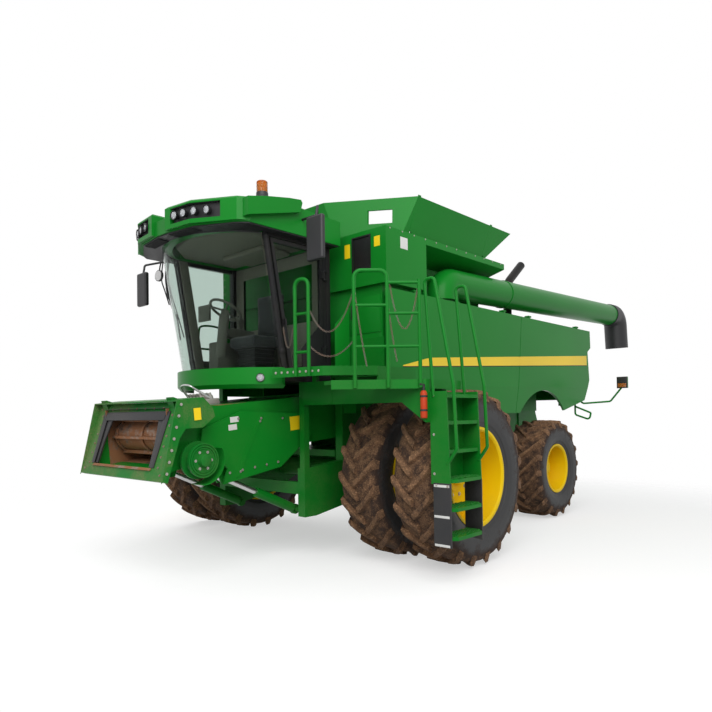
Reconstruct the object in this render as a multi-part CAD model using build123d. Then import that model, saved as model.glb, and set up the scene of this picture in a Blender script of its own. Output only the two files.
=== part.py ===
from build123d import *
import os
from math import atan2, cos, degrees, hypot, radians, sin

# Combine harvester, in millimetres. It is drawn about the middle of its front axle on the ground:
# +X is the machine's left, -Y its front, +Z up. save() then moves every piece so that the middle
# of the whole machine's footprint lies at the origin.

# Driving sizes
wheelbase = 3560
front_tyre_radius = 975
front_tyre_width = 530
front_lugs = 20                 # pairs, one on each side of the tread's middle
front_rim_radius = 556
front_inner_track = 1524        # middle of the inner tyre from the middle plane
dual_spacing = 762
rear_tyre_radius = 775
rear_tyre_width = 640
rear_lugs = 18
rear_rim_radius = 388
rear_track = 1510
hull_rear = 4350                # rear wall of the separator body
running_gap = 6                 # between pieces that move past each other
seat_gap = 0.3                  # between pieces that rest on each other

footprint_shift = (-180, -2325, 0)


def point_on(axis, at, a, b):
    return {"x": (at, a, b), "y": (a, at, b), "z": (a, b, at)}[axis]


# Straight body with the same outline from low to high along one axis.
def prism(axis, outline, low, high):
    loop = Polyline(*[point_on(axis, low, a, b) for a, b in outline], close=True)
    direction = {"x": (1, 0, 0), "y": (0, 1, 0), "z": (0, 0, 1)}[axis]
    return extrude(make_face(loop), amount=high - low, dir=direction)


def block(x, y, z):
    middle = [(low + high) / 2 for low, high in (x, y, z)]
    return Pos(*middle) * Box(x[1] - x[0], y[1] - y[0], z[1] - z[0])


def bar(start, end, radius):
    start, end = Vector(*start), Vector(*end)
    return extrude(Plane(origin=start, z_dir=end - start) * Circle(radius), amount=(end - start).length)


def ring_bar(start, end, radius, bore):
    return bar(start, end, radius) - bar(start, end, bore)


# Round bar along straight runs joined by bends; with a bore it is a tube.
def pipe(points, radius, bend, bore=0):
    path = FilletPolyline(*points, radius=bend)
    start = Plane(origin=path @ 0, z_dir=path % 0)
    section = start * Circle(radius)
    if bore:
        section -= start * Circle(bore)
    return sweep(section, path=path)


# Body of revolution about a line along X through (y, z); the profile is (x, radius) points.
def turned(profile, y, z):
    loop = Polyline(*[(x, y, z + radius) for x, radius in profile], close=True)
    return revolve(make_face(loop), axis=Axis((0, y, z), (1, 0, 0)))


def mirrored(shape):
    return mirror(shape, about=Plane.YZ)


def save(name, *solids):
    os.makedirs("parts", exist_ok=True)
    shapes = [solid for shape in solids for solid in shape.solids()]
    moved = [Pos(*footprint_shift) * shape for shape in shapes]
    whole = moved[0] if len(moved) == 1 else Compound(children=moved)
    export_step(whole, f"parts/{name}.step")


# ---- Wheels ----
lug_height = 45
lug_foot = 0.36                 # share of the pitch that a lug takes at its foot and at its top
lug_crest = (0.06, 0.30)
shoulder_share = 0.90           # of the half width, where the lugs end
shoulder_drop = 12


# Cross-section of the lugged tread at one distance from its middle; the lugs lag by the angle.
def tread_face(x, y, radius, lugs, lag, drop):
    pitch = 360 / lugs
    valley, crest = radius - lug_height, radius - drop
    points = []
    for number in range(lugs):
        for share, r in ((0, valley), (lug_crest[0], crest), (lug_crest[1], crest), (lug_foot, valley)):
            angle = radians((number + share) * pitch - lag)
            points.append((x, y + r * cos(angle), radius + r * sin(angle)))
    return make_face(Polyline(*points, close=True))


# Tyre about a line along X: a tread whose lugs run back from its middle at 45 degrees, and side walls.
def tyre(x_mid, y, radius, width, rim_radius, lugs):
    depth = radius - rim_radius
    half = width / 2
    shoulder = shoulder_share * half
    lag = degrees(shoulder / radius)
    tread = loft([tread_face(x_mid - shoulder, y, radius, lugs, lag, shoulder_drop),
                  tread_face(x_mid, y, radius, lugs, 0, 0),
                  tread_face(x_mid + shoulder, y, radius, lugs, lag, shoulder_drop)], ruled=True)
    tread -= bar((x_mid - half, y, radius), (x_mid + half, y, radius), rim_radius + depth / 2)
    wall = [(shoulder, radius - lug_height - 30), (half, rim_radius + 0.45 * depth), (0.80 * half, rim_radius + seat_gap)]
    section = [(x_mid + offset, r) for offset, r in wall] + [(x_mid - offset, r) for offset, r in reversed(wall)]
    return tread + turned(section, y, radius)


rim_barrel = 18
rim_disc = 16
rim_flange = 26
rim_dish = 45                   # how far the disc's edge lies behind its middle
rim_knee = 0.66                 # of the rim's radius, where the disc turns back


# Steel rim: barrel with a flange at each end and a disc at disc_x, from the barrel to hub_radius.
def rim(x_mid, y, axle_z, rim_radius, width, disc_x, hub_radius):
    half = 0.43 * width
    inside = rim_radius - rim_flange
    barrel = turned([(x_mid - half, rim_radius - seat_gap), (x_mid + half, rim_radius - seat_gap),
                     (x_mid + half, inside), (x_mid + half - rim_barrel, inside - rim_barrel),
                     (x_mid - half + rim_barrel, inside - rim_barrel), (x_mid - half, inside)], y, axle_z)
    bore = bar((x_mid - half, y, axle_z), (x_mid + half, y, axle_z), inside - 2 * rim_barrel)
    near, far = disc_x - rim_disc / 2, disc_x + rim_disc / 2
    knee = rim_knee * rim_radius
    disc = turned([(near, hub_radius), (near, knee), (near - rim_dish, inside - rim_barrel),
                   (far - rim_dish, inside - rim_barrel), (far, knee), (far, hub_radius)], y, axle_z)
    return barrel - bore + disc


front_outer_track = front_inner_track + dual_spacing
front_hub_radius = 175
front_spacer_radius = 235
front_hub_face = 1330           # where the final drive ends and the wheel begins
front_outer_disc = front_outer_track - 95


def front_wheels():
    tyres = [tyre(track, 0, front_tyre_radius, front_tyre_width, front_rim_radius, front_lugs)
             for track in (front_inner_track, front_outer_track)]
    inner_disc = front_inner_track + 40
    rims = [rim(track, 0, front_tyre_radius, front_rim_radius, front_tyre_width, disc, front_hub_radius - 30)
            for track, disc in ((front_inner_track, inner_disc), (front_outer_track, front_outer_disc))]
    hub = bar((front_hub_face + seat_gap, 0, front_tyre_radius), (inner_disc, 0, front_tyre_radius),
              front_hub_radius)
    spacer = ring_bar((inner_disc, 0, front_tyre_radius), (front_outer_disc, 0, front_tyre_radius),
                      front_spacer_radius, front_spacer_radius - 20)
    cap = bar((front_outer_disc - 60, 0, front_tyre_radius), (front_outer_disc + 30, 0, front_tyre_radius),
              front_hub_radius)
    return tyres, Part() + rims + [hub, spacer, cap]


kingpin_x = 1120
kingpin_radius = 45
rear_axle_z = rear_tyre_radius
rear_hub_radius = 130
rear_hub_face = 1270
rear_disc = rear_track + 20


def rear_wheel():
    hub = bar((rear_hub_face + seat_gap, wheelbase, rear_axle_z), (rear_disc + 60, wheelbase, rear_axle_z),
              rear_hub_radius)
    steel = rim(rear_track, wheelbase, rear_axle_z, rear_rim_radius, rear_tyre_width, rear_disc,
                rear_hub_radius - 20)
    return tyre(rear_track, wheelbase, rear_tyre_radius, rear_tyre_width, rear_rim_radius, rear_lugs), steel + hub


front_tyres, front_rims = front_wheels()
save("front_tyres_left", *front_tyres)
save("front_rims_left", front_rims)
save("front_tyres_right", *[mirrored(shape) for shape in front_tyres])
save("front_rims_right", mirrored(front_rims))
rear_tyre, rear_rim = rear_wheel()
save("rear_tyre_left", rear_tyre)
save("rear_rim_left", rear_rim)
save("rear_tyre_right", mirrored(rear_tyre))
save("rear_rim_right", mirrored(rear_rim))

# ---- Chassis, front axle and rear axle ----
rail_inner = 720
rail_outer = 840
rail_bottom = 900
rail_top = 1120
rail_rear = hull_rear + 150
rear_rail_x = (500, 600)        # the rails behind the front plates stand closer together
cross_bottom = 970
hull_bottom = 1160
cab_beam_inner = 760
cab_floor_z = 2180              # top of the cab floor
cab_floor_thick = 110
cab_beam_top = cab_floor_z - cab_floor_thick - seat_gap
lift_base = (-950, 560)         # pin of each lift cylinder on the chassis, (y, z)
lift_x = 530
pin_radius = 28
pin_play = 0.5                  # round a pin in its bore
feeder_pivot = (50, 1720)       # trunnions of the feeder house, (y, z)
trunnion_radius = 60
trunnion_plate_top = 1960
hull_front = -400
final_drive_radius = 300
axle_tube_radius = 130
axle_flange_radius = 210
frame_split = 1060               # where the front plates end and the rear rails begin
frame_foot = 500                # lowest edge of the front plates
hitch_z = (875, 960)
hitch_pin_y = rail_rear + 160
hitch_pin_radius = 16


# One side of the frame's front half: plate, lift pin, cab post and beam.
def side_plate():
    plate = prism("x", [(-frame_split, frame_foot), (-880, frame_foot), (-260, 600), (180, 800),
                        (frame_split, rail_bottom), (frame_split, rail_top), (feeder_pivot[0] + 160, rail_top),
                        (feeder_pivot[0] + 160, trunnion_plate_top), (hull_front - 20, trunnion_plate_top),
                        (hull_front - 20, rail_top), (-frame_split, 1060)], rail_inner, rail_outer)
    plate -= bar((rail_inner - 1, *feeder_pivot), (rail_outer + 1, *feeder_pivot), trunnion_radius + pin_play)
    plate -= bar((rail_inner - 1, 0, front_tyre_radius), (rail_outer + 1, 0, front_tyre_radius),
                 axle_tube_radius + seat_gap)
    pin = bar((lift_x - 60, *lift_base), (rail_inner, *lift_base), pin_radius)
    post = block((cab_beam_inner, rail_outer), (-frame_split, -980), (1050, cab_beam_top - 50))
    beam = block((cab_beam_inner, rail_outer), (-frame_split, hull_front - 5), (cab_beam_top - 120, cab_beam_top))
    return plate + pin + post + beam


# Rear cross member with the hitch, a fork whose pin stands upright.
def hitch_member():
    body = block((-rear_rail_x[0] + seat_gap, rear_rail_x[0] - seat_gap), (rail_rear - 310, rail_rear - 110),
                 (cross_bottom, hull_bottom - seat_gap))
    body += block((-55, 55), (rail_rear - 160, hitch_pin_y + 50), hitch_z)
    body += block((-55, 55), (rail_rear - 160, rail_rear - 110), (hitch_z[0], cross_bottom + 20))
    body -= block((-56, 56), (rail_rear - 60, hitch_pin_y + 60), (hitch_z[0] + 20, hitch_z[1] - 20))
    return body - bar((0, hitch_pin_y, hitch_z[0] - 1), (0, hitch_pin_y, hitch_z[1] + 1), hitch_pin_radius)


# Bolted frame: front plates, rear rails and the members across them.
def chassis():
    plate = side_plate()
    rail = block(rear_rail_x, (frame_split + seat_gap, rail_rear), (rail_bottom, rail_top))
    inside, inside_rear = rail_inner - seat_gap, rear_rail_x[0] - seat_gap
    front = block((-inside, inside), (-frame_split, 60 - frame_split), (760, 900))
    middle = block((-inside, inside), (frame_split - 200, frame_split), (cross_bottom, hull_bottom - seat_gap))
    above_axle = block((-inside_rear, inside_rear), (wheelbase - 100, wheelbase + 100),
                       (cross_bottom, hull_bottom - seat_gap))
    return [plate, mirrored(plate), rail, mirrored(rail), front, middle, above_axle, hitch_member()]


# Front axle: a tube through both plates, with a flange and a final drive at each end.
def front_axle():
    tube = bar((-rail_outer - 1, 0, front_tyre_radius), (rail_outer + 1, 0, front_tyre_radius), axle_tube_radius)
    flange = bar((rail_outer + seat_gap, 0, front_tyre_radius), (960, 0, front_tyre_radius), axle_flange_radius)
    final_drive = turned([(960, 250), (1080, final_drive_radius), (1240, final_drive_radius),
                          (front_hub_face, 180), (front_hub_face, 0), (960, 0)], 0, front_tyre_radius)
    return tube + flange + mirrored(flange) + final_drive + mirrored(final_drive)


fork_gap = 150                  # height of the knuckle between the fork's plates


def rear_axle():
    beam = block((-kingpin_x + 150, kingpin_x - 150), (wheelbase - 95, wheelbase + 95),
                 (rear_axle_z - 80, rear_axle_z + 80))
    fork = block((kingpin_x - 160, kingpin_x - 92), (wheelbase - 60, wheelbase + 60),
                 (rear_axle_z - 125, rear_axle_z + 125))
    for side in (-1, 1):
        middle = rear_axle_z + side * (fork_gap / 2 + 25)
        plate = block((kingpin_x - 120, kingpin_x + 65), (wheelbase - 70, wheelbase + 70), (middle - 20, middle + 20))
        plate -= bar((kingpin_x, wheelbase, middle - 30), (kingpin_x, wheelbase, middle + 30),
                     kingpin_radius + pin_play)
        fork += plate
    saddle = block((-170, 170), (wheelbase - 100, wheelbase + 100), (rear_axle_z + 75, cross_bottom - seat_gap))
    return beam + fork + mirrored(fork) + saddle


save("chassis_frame", *chassis())
save("front_axle", front_axle())
save("rear_axle", rear_axle())

arm_length = 260
arm_x = kingpin_x                # arms straight back, so both wheels steer alike
tie_rod_radius = 22


def knuckle():
    half = fork_gap / 2
    body = block((kingpin_x - 60, kingpin_x + 60), (wheelbase - 65, wheelbase + 65), (rear_axle_z - half, rear_axle_z + half))
    pin = bar((kingpin_x, wheelbase, rear_axle_z - half - 60), (kingpin_x, wheelbase, rear_axle_z + half + 60),
              kingpin_radius)
    spindle = bar((kingpin_x + 50, wheelbase, rear_axle_z), (rear_hub_face, wheelbase, rear_axle_z), 75)
    arm = prism("z", [(kingpin_x - 28, wheelbase + 60), (kingpin_x + 40, wheelbase + 60),
                      (arm_x + 30, wheelbase + arm_length + 30), (arm_x - 28, wheelbase + arm_length + 30)],
                rear_axle_z - 15, rear_axle_z + 15)
    eye = (arm_x, wheelbase + arm_length)
    arm -= bar((*eye, rear_axle_z - 40), (*eye, rear_axle_z + 40), 16 + pin_play)
    return body + pin + spindle + arm


def tie_rod():
    z = rear_axle_z + 60
    rod = bar((-arm_x, wheelbase + arm_length, z), (arm_x, wheelbase + arm_length, z), tie_rod_radius)
    for side in (-1, 1):
        rod += bar((side * arm_x, wheelbase + arm_length, rear_axle_z - 30), (side * arm_x, wheelbase + arm_length, z), 16)
    return rod


save("steering_knuckle_left", knuckle())
save("steering_knuckle_right", mirrored(knuckle()))
save("tie_rod", tie_rod())

# ---- Threshing and separating body ----
hull_half = 1050
hull_low_half = 680
hull_step = 1700                # above this height the body is wide
hull_top = 2600
deck_top = 2950
recess_half = 705
feeder_depth_half = 280


def separator_body():
    lower = prism("x", [(hull_front, hull_bottom), (hull_rear, hull_bottom), (hull_rear, hull_step + 10),
                        (hull_front, hull_step + 10)], -hull_low_half, hull_low_half)
    upper = block((-hull_half, hull_half), (hull_front, hull_rear), (hull_step, hull_top))
    rear_top = block((-hull_half, hull_half), (tank_rear + 60, hull_rear), (hull_top - 10, deck_top))
    front_wall = block((-1500, 1500), (tank_front + 60, tank_front + 110), (2140, hull_top))
    body = lower + upper + rear_top + front_wall
    body -= block((-recess_half, recess_half), (hull_front - 10, feeder_pivot[0] + 420),
                  (feeder_pivot[1] - 480, feeder_pivot[1] + 420))
    side_slot = block((recess_half - 1, rail_outer + 5), (hull_front - 30, feeder_pivot[0] + 170),
                      (hull_step - 20, trunnion_plate_top + 5))
    body -= side_slot
    body -= mirrored(side_slot)
    body -= block((-800, 800), (engine_front, engine_rear), (engine_floor, deck_top + 10))
    return body


tank_front = -440
tank_rear = 2300
tank_bottom = 2600
tank_top = 3880
tank_half = 1600
tank_wall = 40
tank_side_left = 1150           # left wall beside the unloading tube
horn_rear = 350
shelf_bottom = 3800
side_top = 3170                 # top edge of the side shields
engine_front = 2560
engine_rear = 3900
engine_floor = 2480


auger_x = 1400
auger_y = 950
auger_radius = 205
spout_radius = 220
auger_base_z = 3200
auger_axis_z = 3440             # height of the tube's middle line above its elbow
auger_rise = 2.0                # degrees that the folded tube climbs to the rear
auger_end_y = 7000


def top_flange():
    plate = block((-tank_half, tank_half), (tank_front, tank_rear), (tank_top - tank_wall, tank_top))
    opening = [(facet_half - 30, tank_front + 40), (cover_x - 30, 20), (cover_x - 30, cover_rear - 10)]
    opening += [(-x, y) for x, y in reversed(opening)]
    return plate - prism("z", opening, tank_top - tank_wall - 5, tank_top + 5)


facet_half = 790
cover_x = 1480
cover_rear = 1880


def grain_tank():
    lower = block((-1480, 1480), (tank_front + 60, horn_rear), (tank_bottom + seat_gap, side_top + 60))
    middle = block((-1480, tank_side_left), (horn_rear - 10, tank_rear), (tank_bottom + seat_gap, side_top + 60))
    upper = block((-tank_half, tank_side_left), (tank_front, tank_rear), (side_top + 50, tank_top))
    horn = block((tank_side_left - 10, tank_half), (tank_front, horn_rear), (side_top + 50, tank_top))
    shelf = prism("y", [(tank_side_left - 10, shelf_bottom - 130), (tank_half, shelf_bottom), (tank_half, tank_top),
                        (tank_side_left - 10, tank_top)], horn_rear - 10, tank_rear)
    body = lower + middle + upper + horn + shelf
    body += block((tank_side_left - 10, auger_x + 125), (auger_y - 260, auger_y + 260), (tank_bottom + 100, side_top + 25))
    body += bar((auger_x, auger_y, side_top + 22), (auger_x, auger_y, auger_base_z), auger_radius)
    inside_front = tank_front + 60 + tank_wall
    body -= block((-1480 + tank_wall, tank_side_left - tank_wall), (inside_front, tank_rear - tank_wall),
                  (tank_bottom + 60, tank_top + 10))
    body -= block((-tank_half + tank_wall, tank_side_left - tank_wall), (tank_front + tank_wall, tank_rear - tank_wall),
                  (side_top + 100, tank_top + 10))
    body -= block((tank_side_left - 60, tank_half - tank_wall), (tank_front + tank_wall, horn_rear - tank_wall),
                  (side_top + 100, tank_top - tank_wall))
    body += top_flange()
    window = block((1080, 1350), (tank_front - 10, tank_front + tank_wall + 10), (3410, 3810))
    body -= window
    screen = block((1075, 1355), (tank_front + 12, tank_front + 24), (3405, 3815))
    return body + screen


save("separator_body", separator_body())
save("grain_tank", grain_tank())


def engine():
    body = block((-420, 420), (engine_front + 120, engine_rear - 150), (engine_floor + seat_gap, deck_top - 60))
    return body + block((-520, -400), (engine_front + 300, engine_rear - 300), (engine_floor + 40, deck_top - 160))


save("engine_block", engine())


# ---- Grain tank extension: flared panels above the tank, with a folding cover at each side ----
flare_high = 470
flare_top_z = tank_top + flare_high
facet_top_half = 650
facet_top_y = -510
cover_top_x = 1650
cover_top_front = 140
cover_top_rear = 2420
flare_sheet = 24
sill_high = 12
cover_hinge_radius = 14
cover_hinge_z = tank_top + sill_high + cover_hinge_radius + 2 * seat_gap


# Flat sheet through its outer corners, thickened towards the middle of the tank.
def sheet(corners, thickness):
    face = make_face(Polyline(*corners, close=True)).faces()[0]
    centre = face.center()
    inward = Vector(-centre.X, 1000 - centre.Y, 0)
    normal = face.normal_at()
    side = 1 if normal.dot(inward) > 0 else -1
    return extrude(face, amount=thickness, dir=normal * side)


# A point of the side panels' plane at the given height.
def flare_x(z):
    return cover_x + (z - tank_top) / (flare_top_z - tank_top) * (cover_top_x - cover_x)


def cover():
    front, rear = cover_top_front + flare_sheet + 2 * running_gap, cover_rear - flare_sheet - 2 * running_gap
    low, high = flare_x(cover_hinge_z), cover_top_x
    panel = sheet([(low, front, cover_hinge_z), (high, front, flare_top_z), (high, rear, flare_top_z),
                   (low, rear, cover_hinge_z)], flare_sheet)
    return panel + bar((low - 13, front, cover_hinge_z), (low - 13, rear, cover_hinge_z), cover_hinge_radius)


def tank_extension():
    base = tank_top + seat_gap
    seam_low, seam_high = (facet_half, tank_front + 5, base), (facet_top_half, facet_top_y, flare_top_z)
    side_high = (cover_top_x, cover_top_front, flare_top_z)
    normal = (Vector(*seam_high) - Vector(*seam_low)).cross(Vector(*side_high) - Vector(*seam_low))
    side_low = (cover_x, seam_low[1] - (cover_x - facet_half) * normal.X / normal.Y, base)
    flipped = lambda point: (-point[0], point[1], point[2])
    panels = [sheet([seam_low, seam_high, flipped(seam_high), flipped(seam_low)], flare_sheet)]
    corner = sheet([seam_low, side_low, side_high, seam_high], flare_sheet)
    window = block((1120, 1380), (-400, 400), (tank_top + 0.34 * flare_high, tank_top + 0.70 * flare_high))
    gusset = sheet([side_low, (cover_x, cover_top_front, base), side_high], flare_sheet)
    rear_gusset = sheet([(cover_x, cover_rear, base), (cover_top_x, cover_top_rear, flare_top_z),
                         (cover_top_x, cover_rear, flare_top_z)], flare_sheet)
    rear = sheet([(cover_x, cover_rear, base), (cover_top_x, cover_top_rear, flare_top_z),
                  (-cover_top_x, cover_top_rear, flare_top_z), (-cover_x, cover_rear, base)], flare_sheet)
    sill = block((cover_x - 20, cover_x), (cover_top_front, cover_rear), (base, base + sill_high))
    body = panels[0] + rear
    for shape in (corner - window, gusset, rear_gusset, sill):
        body += shape
    for shape in (corner, gusset, rear_gusset, sill):
        body += mirrored(shape)
    return body & block((-2000, 2000), (-1000, 3000), (base, flare_top_z))


save("tank_cover_left", cover())
save("tank_cover_right", mirrored(cover()))
save("tank_extension", tank_extension())

# ---- Engine deck, exhaust, rear hood, chopper ----
deck_half = 1480
exhaust_x = 1040
exhaust_y = 3400
hood_rear = hull_rear + 940
hood_tube = 16                  # of the tube frame under each side of the hood


def engine_deck():
    plate = block((-deck_half, deck_half), (tank_rear + 5, hull_rear), (deck_top + seat_gap, deck_top + 30))
    plate -= block((-760, 760), (engine_front + 20, engine_rear - 20), (deck_top - 10, deck_top + 40))
    hood = block((-800, 800), (engine_front, engine_rear), (deck_top + 20, deck_top + 190))
    hood -= block((-770, 770), (engine_front + 30, engine_rear - 30), (deck_top - 10, deck_top + 160))
    screen = block((-deck_half + 50, -1060), (engine_front, engine_rear - 300), (deck_top + 20, deck_top + 200))
    plate -= bar((exhaust_x, exhaust_y, deck_top - 10), (exhaust_x, exhaust_y, deck_top + 40), 80)
    return plate + hood + screen


def exhaust():
    path = [(exhaust_x, exhaust_y, deck_top + seat_gap), (exhaust_x, exhaust_y, 3840),
            (exhaust_x, exhaust_y + 500, 4230)]
    tube = pipe(path, 68, 260)
    return tube - bar(Vector(*path[2]) - Vector(0, 94, 73), Vector(*path[2]) + Vector(0, 10, 8), 60)


def rear_hood():
    outside = prism("x", [(hull_rear + seat_gap, 1780), (hood_rear - 210, 1900), (hood_rear, 2250), (hood_rear, 2900),
                          (hood_rear - 60, deck_top + 150), (hull_rear + seat_gap, deck_top + 150)], -1500, 1500)
    inside = prism("x", [(hull_rear - 10, 1700), (hood_rear - 240, 1700), (hood_rear - 240, 1940),
                         (hood_rear - 40, 2260), (hood_rear - 40, 2890), (hood_rear - 90, deck_top + 110),
                         (hull_rear - 10, deck_top + 110)], -1460, 1460)
    body = outside - inside
    for side in (-1, 1):
        x = side * 1480
        y = hood_rear - 290
        loop = pipe([(x, y, 1960), (x, y, 1620), (x + side * 260, y, 1530), (x + side * 285, y, 1650)], hood_tube, 50)
        body += loop + bar((x + side * 285, y, 1650), (x, y, 1770), hood_tube)
    return body


tailboard_pin = (hull_rear + 865, 1330)
tailboard_pin_radius = 18
tailboard_half = 690


# Outline in the middle plane, its first value counted from the hull's rear wall.
def behind_hull(points):
    return [(hull_rear + y, z) for y, z in points]


def straw_chopper():
    shell = prism("x", behind_hull([(seat_gap, 1180), (210, 1180), (250, 1000), (750, 1000), (830, 1290), (630, 1740),
                                    (seat_gap, 1740)]), -700, 700)
    cavity = prism("x", behind_hull([(290, 980), (710, 980), (780, 1280), (610, 1690), (290, 1690)]), -670, 670)
    body = shell - cavity + bar((-680, hull_rear + 500, 1300), (680, hull_rear + 500, 1300), 90)
    for side in (-1, 1):
        ear = prism("x", behind_hull([(750, 1290), (830, 1290), (890, 1305), (890, 1355), (810, 1370), (750, 1370)]),
                    *sorted((side * (tailboard_half + 2), side * (tailboard_half + 27))))
        ear -= bar((side * tailboard_half, *tailboard_pin), (side * (tailboard_half + 40), *tailboard_pin),
                   tailboard_pin_radius + pin_play)
        body += ear
    return body


def tailboard():
    plate = prism("x", behind_hull([(875, 1345), (1220, 1150), (1210, 1132), (865, 1325)]),
                  -tailboard_half, tailboard_half)
    reach = tailboard_half + 26
    tube = bar((-reach, *tailboard_pin), (reach, *tailboard_pin), tailboard_pin_radius)
    vanes = Part()
    vane = behind_hull([(910, 1315), (1205, 1150), (1190, 1090), (940, 1230)])
    for step in range(7):
        x = -600 + 200 * step
        vanes += prism("x", vane, x - 6, x + 6)
    return plate + tube + vanes


save("engine_deck", engine_deck())
save("exhaust_pipe", exhaust())
save("rear_hood", rear_hood())
save("straw_chopper", straw_chopper())
save("tailboard", tailboard())

# ---- Side shields and the rails that carry them ----
shield_x = (1555, 1595)
shield_hinge = (1575, side_top + 20)          # (x, z), just above the shields
shield_split = ((2830, side_top - 8), (2600, 1670))
rail_gap = (auger_y - 320, auger_y + 320)


hinge_pin_radius = 8
hinge_radius = 14
hinge_wide = 40                 # along the machine
hinge_stations = {"front": (120, 2300), "rear": (3100, 4900)}


# Rails along the tank and the hood; tank_side lists how far out the tank reaches at each strut.
def shield_frame(tank_side):
    side = Part()
    for low, high in ((tank_front + 80, rail_gap[0]), (rail_gap[1], hood_rear - 60)):
        side += block((1500, 1540), (low, high), (side_top - 90, side_top - 30))
    for y, inner in tank_side:
        side += block((inner + seat_gap, 1510), (y, y + 60), (side_top - 85, side_top - 35))
    for y in (2600, 3400, 4250):
        side += block((1440, 1510), (y, y + 60), (deck_top + 30 + seat_gap, side_top - 35))
    for y in hinge_stations["front"] + hinge_stations["rear"]:
        for low in (y - 20, y + hinge_wide + running_gap):
            lug = prism("y", [(1512, side_top - 60), (1536, side_top - 60), (1536, side_top + 5),
                              (shield_hinge[0], side_top + 8), (shield_hinge[0], side_top + 32),
                              (1512, side_top + 32)], low, low + 14)
            lug += bar((shield_hinge[0], low, shield_hinge[1]), (shield_hinge[0], low + 14, shield_hinge[1]), hinge_radius)
            lug -= bar((shield_hinge[0], low - 1, shield_hinge[1]), (shield_hinge[0], low + 15, shield_hinge[1]),
                       hinge_pin_radius + seat_gap)
            side += lug
    return side


crease_x = (1588, 1600, 1608, 1582)     # outer skin at the top edge, the two creases and the foot


# Section of the side shields' skin; both creases climb towards the rear.
def skin_section(y):
    upper = 2524 + 0.05 * y
    lower = 2030 + 0.015 * y
    corners = [(shield_x[0], side_top), (crease_x[0], side_top), (crease_x[1], upper), (crease_x[2], lower),
               (crease_x[3], 1640), (shield_x[0], 1640)]
    return make_face(Polyline(*[(x, y, z) for x, z in corners], close=True))


def shield(outline, stations):
    skin = loft([skin_section(tank_front), skin_section(5500)], ruled=True)
    panel = skin & outline
    for y in stations:
        panel += block((shield_hinge[0] - 7, shield_hinge[0] + 7), (y, y + hinge_wide), (side_top - 40, shield_hinge[1]))
        panel += bar((shield_hinge[0], y, shield_hinge[1]), (shield_hinge[0], y + hinge_wide, shield_hinge[1]), hinge_radius)
        panel += bar((shield_hinge[0], y - 20, shield_hinge[1]), (shield_hinge[0], y + hinge_wide + 20, shield_hinge[1]),
                     hinge_pin_radius)
    return panel


top = side_top - 8
arch_middle = (3500, 2030)      # top of the arch over the rear wheel, (y, z)
front_shield = prism("x", [(tank_front + 30, top), (shield_split[0][0] - 6, top), (shield_split[1][0] - 6, 1670),
                           (1040, 1670), (960, 1800), (720, 1990), (400, 2090), (tank_front + 30, 2120)], 1500, 1700)
rear_shield = prism("x", [(shield_split[0][0] + 6, top), (5470, top), (5460, 2850), (5320, 2770), (5360, 2250),
                          (5150, 1880), (4290, 1700), (2730, 1670), (shield_split[1][0] + 6, 1670)], 1500, 1700)
arch = make_face([ThreePointArc((1500, 2720, 1650), (1500, *arch_middle), (1500, 4310, 1680)),
                  Line((1500, 4310, 1680), (1500, 2720, 1650))])
rear_shield -= extrude(arch, amount=200, dir=(1, 0, 0))
left_struts = [(-200, 1480), (400, tank_side_left), (1500, tank_side_left), (2200, tank_side_left)]
right_struts = [(y, 1480) for y, inner in left_struts]
save("shield_frame", shield_frame(left_struts), mirrored(shield_frame(right_struts)))
for name, outline in (("front_shield", front_shield), ("rear_shield", rear_shield)):
    panel = shield(outline, hinge_stations[name.split("_")[0]])
    save(f"{name}_left", panel)
    save(f"{name}_right", mirrored(panel))


# ---- Unloading auger ----
auger_seam_y = 2550             # where the tube's two lengths are flanged together


# Height of the folded tube's middle line.
def seam_height(y):
    return auger_axis_z + (y - auger_y) * sin(radians(auger_rise)) / cos(radians(auger_rise))


def auger():
    tip = auger_end_y - auger_y
    climb = sin(radians(auger_rise)) / cos(radians(auger_rise))
    path = [(auger_x, auger_y, auger_base_z + seat_gap), (auger_x, auger_y, auger_axis_z),
            (auger_x, auger_end_y, auger_axis_z + tip * climb)]
    seam = bar((auger_x, auger_seam_y, seam_height(auger_seam_y)), (auger_x, auger_seam_y + 30, seam_height(auger_seam_y + 30)),
               auger_radius + 9)
    return pipe(path, auger_radius, 215) + seam


# A point on the folded tube's middle line, measured from its end.
def auger_point(past_end):
    climb = radians(auger_rise)
    run = (auger_end_y - auger_y) / cos(climb) + past_end
    return (auger_x, auger_y + run * cos(climb), auger_axis_z + run * sin(climb))


def auger_spout():
    drop_y = auger_end_y + 350
    return pipe([auger_point(-120), auger_point(280), (auger_x, drop_y, 2990)], spout_radius, 230,
                auger_radius + seat_gap)


save("auger_tube", auger())
save("auger_spout", auger_spout())

# ---- Cab ----
cab_half = 930
cab_rear_y = -700
cab_post_low_y = -1420          # front corner posts at the floor and at the roof
cab_post_high_y = -1680
cab_nose = 560                  # how far the windscreen bows ahead of the corner posts
glass_top_z = 3700
roof_foot = glass_top_z + seat_gap
roof_half = 1060
roof_rear_y = -640
glass = 10
cab_wall = 50
bumper_z = (1990, 2220)
post = 55


# Plan outline of the cab's nose: a straight back line and a bowed front, at one height.
def nose_face(half, corner_y, nose, back_y, z):
    edges = [Line((half, back_y, z), (half, corner_y, z)),
             ThreePointArc((half, corner_y, z), (0, corner_y - nose, z), (-half, corner_y, z)),
             Line((-half, corner_y, z), (-half, back_y, z)), Line((-half, back_y, z), (half, back_y, z))]
    return make_face(edges)


def nose_slab(half, corner_y, nose, back_y, low, high):
    return extrude(nose_face(half, corner_y, nose, back_y, low), amount=high - low, dir=(0, 0, 1))


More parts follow.
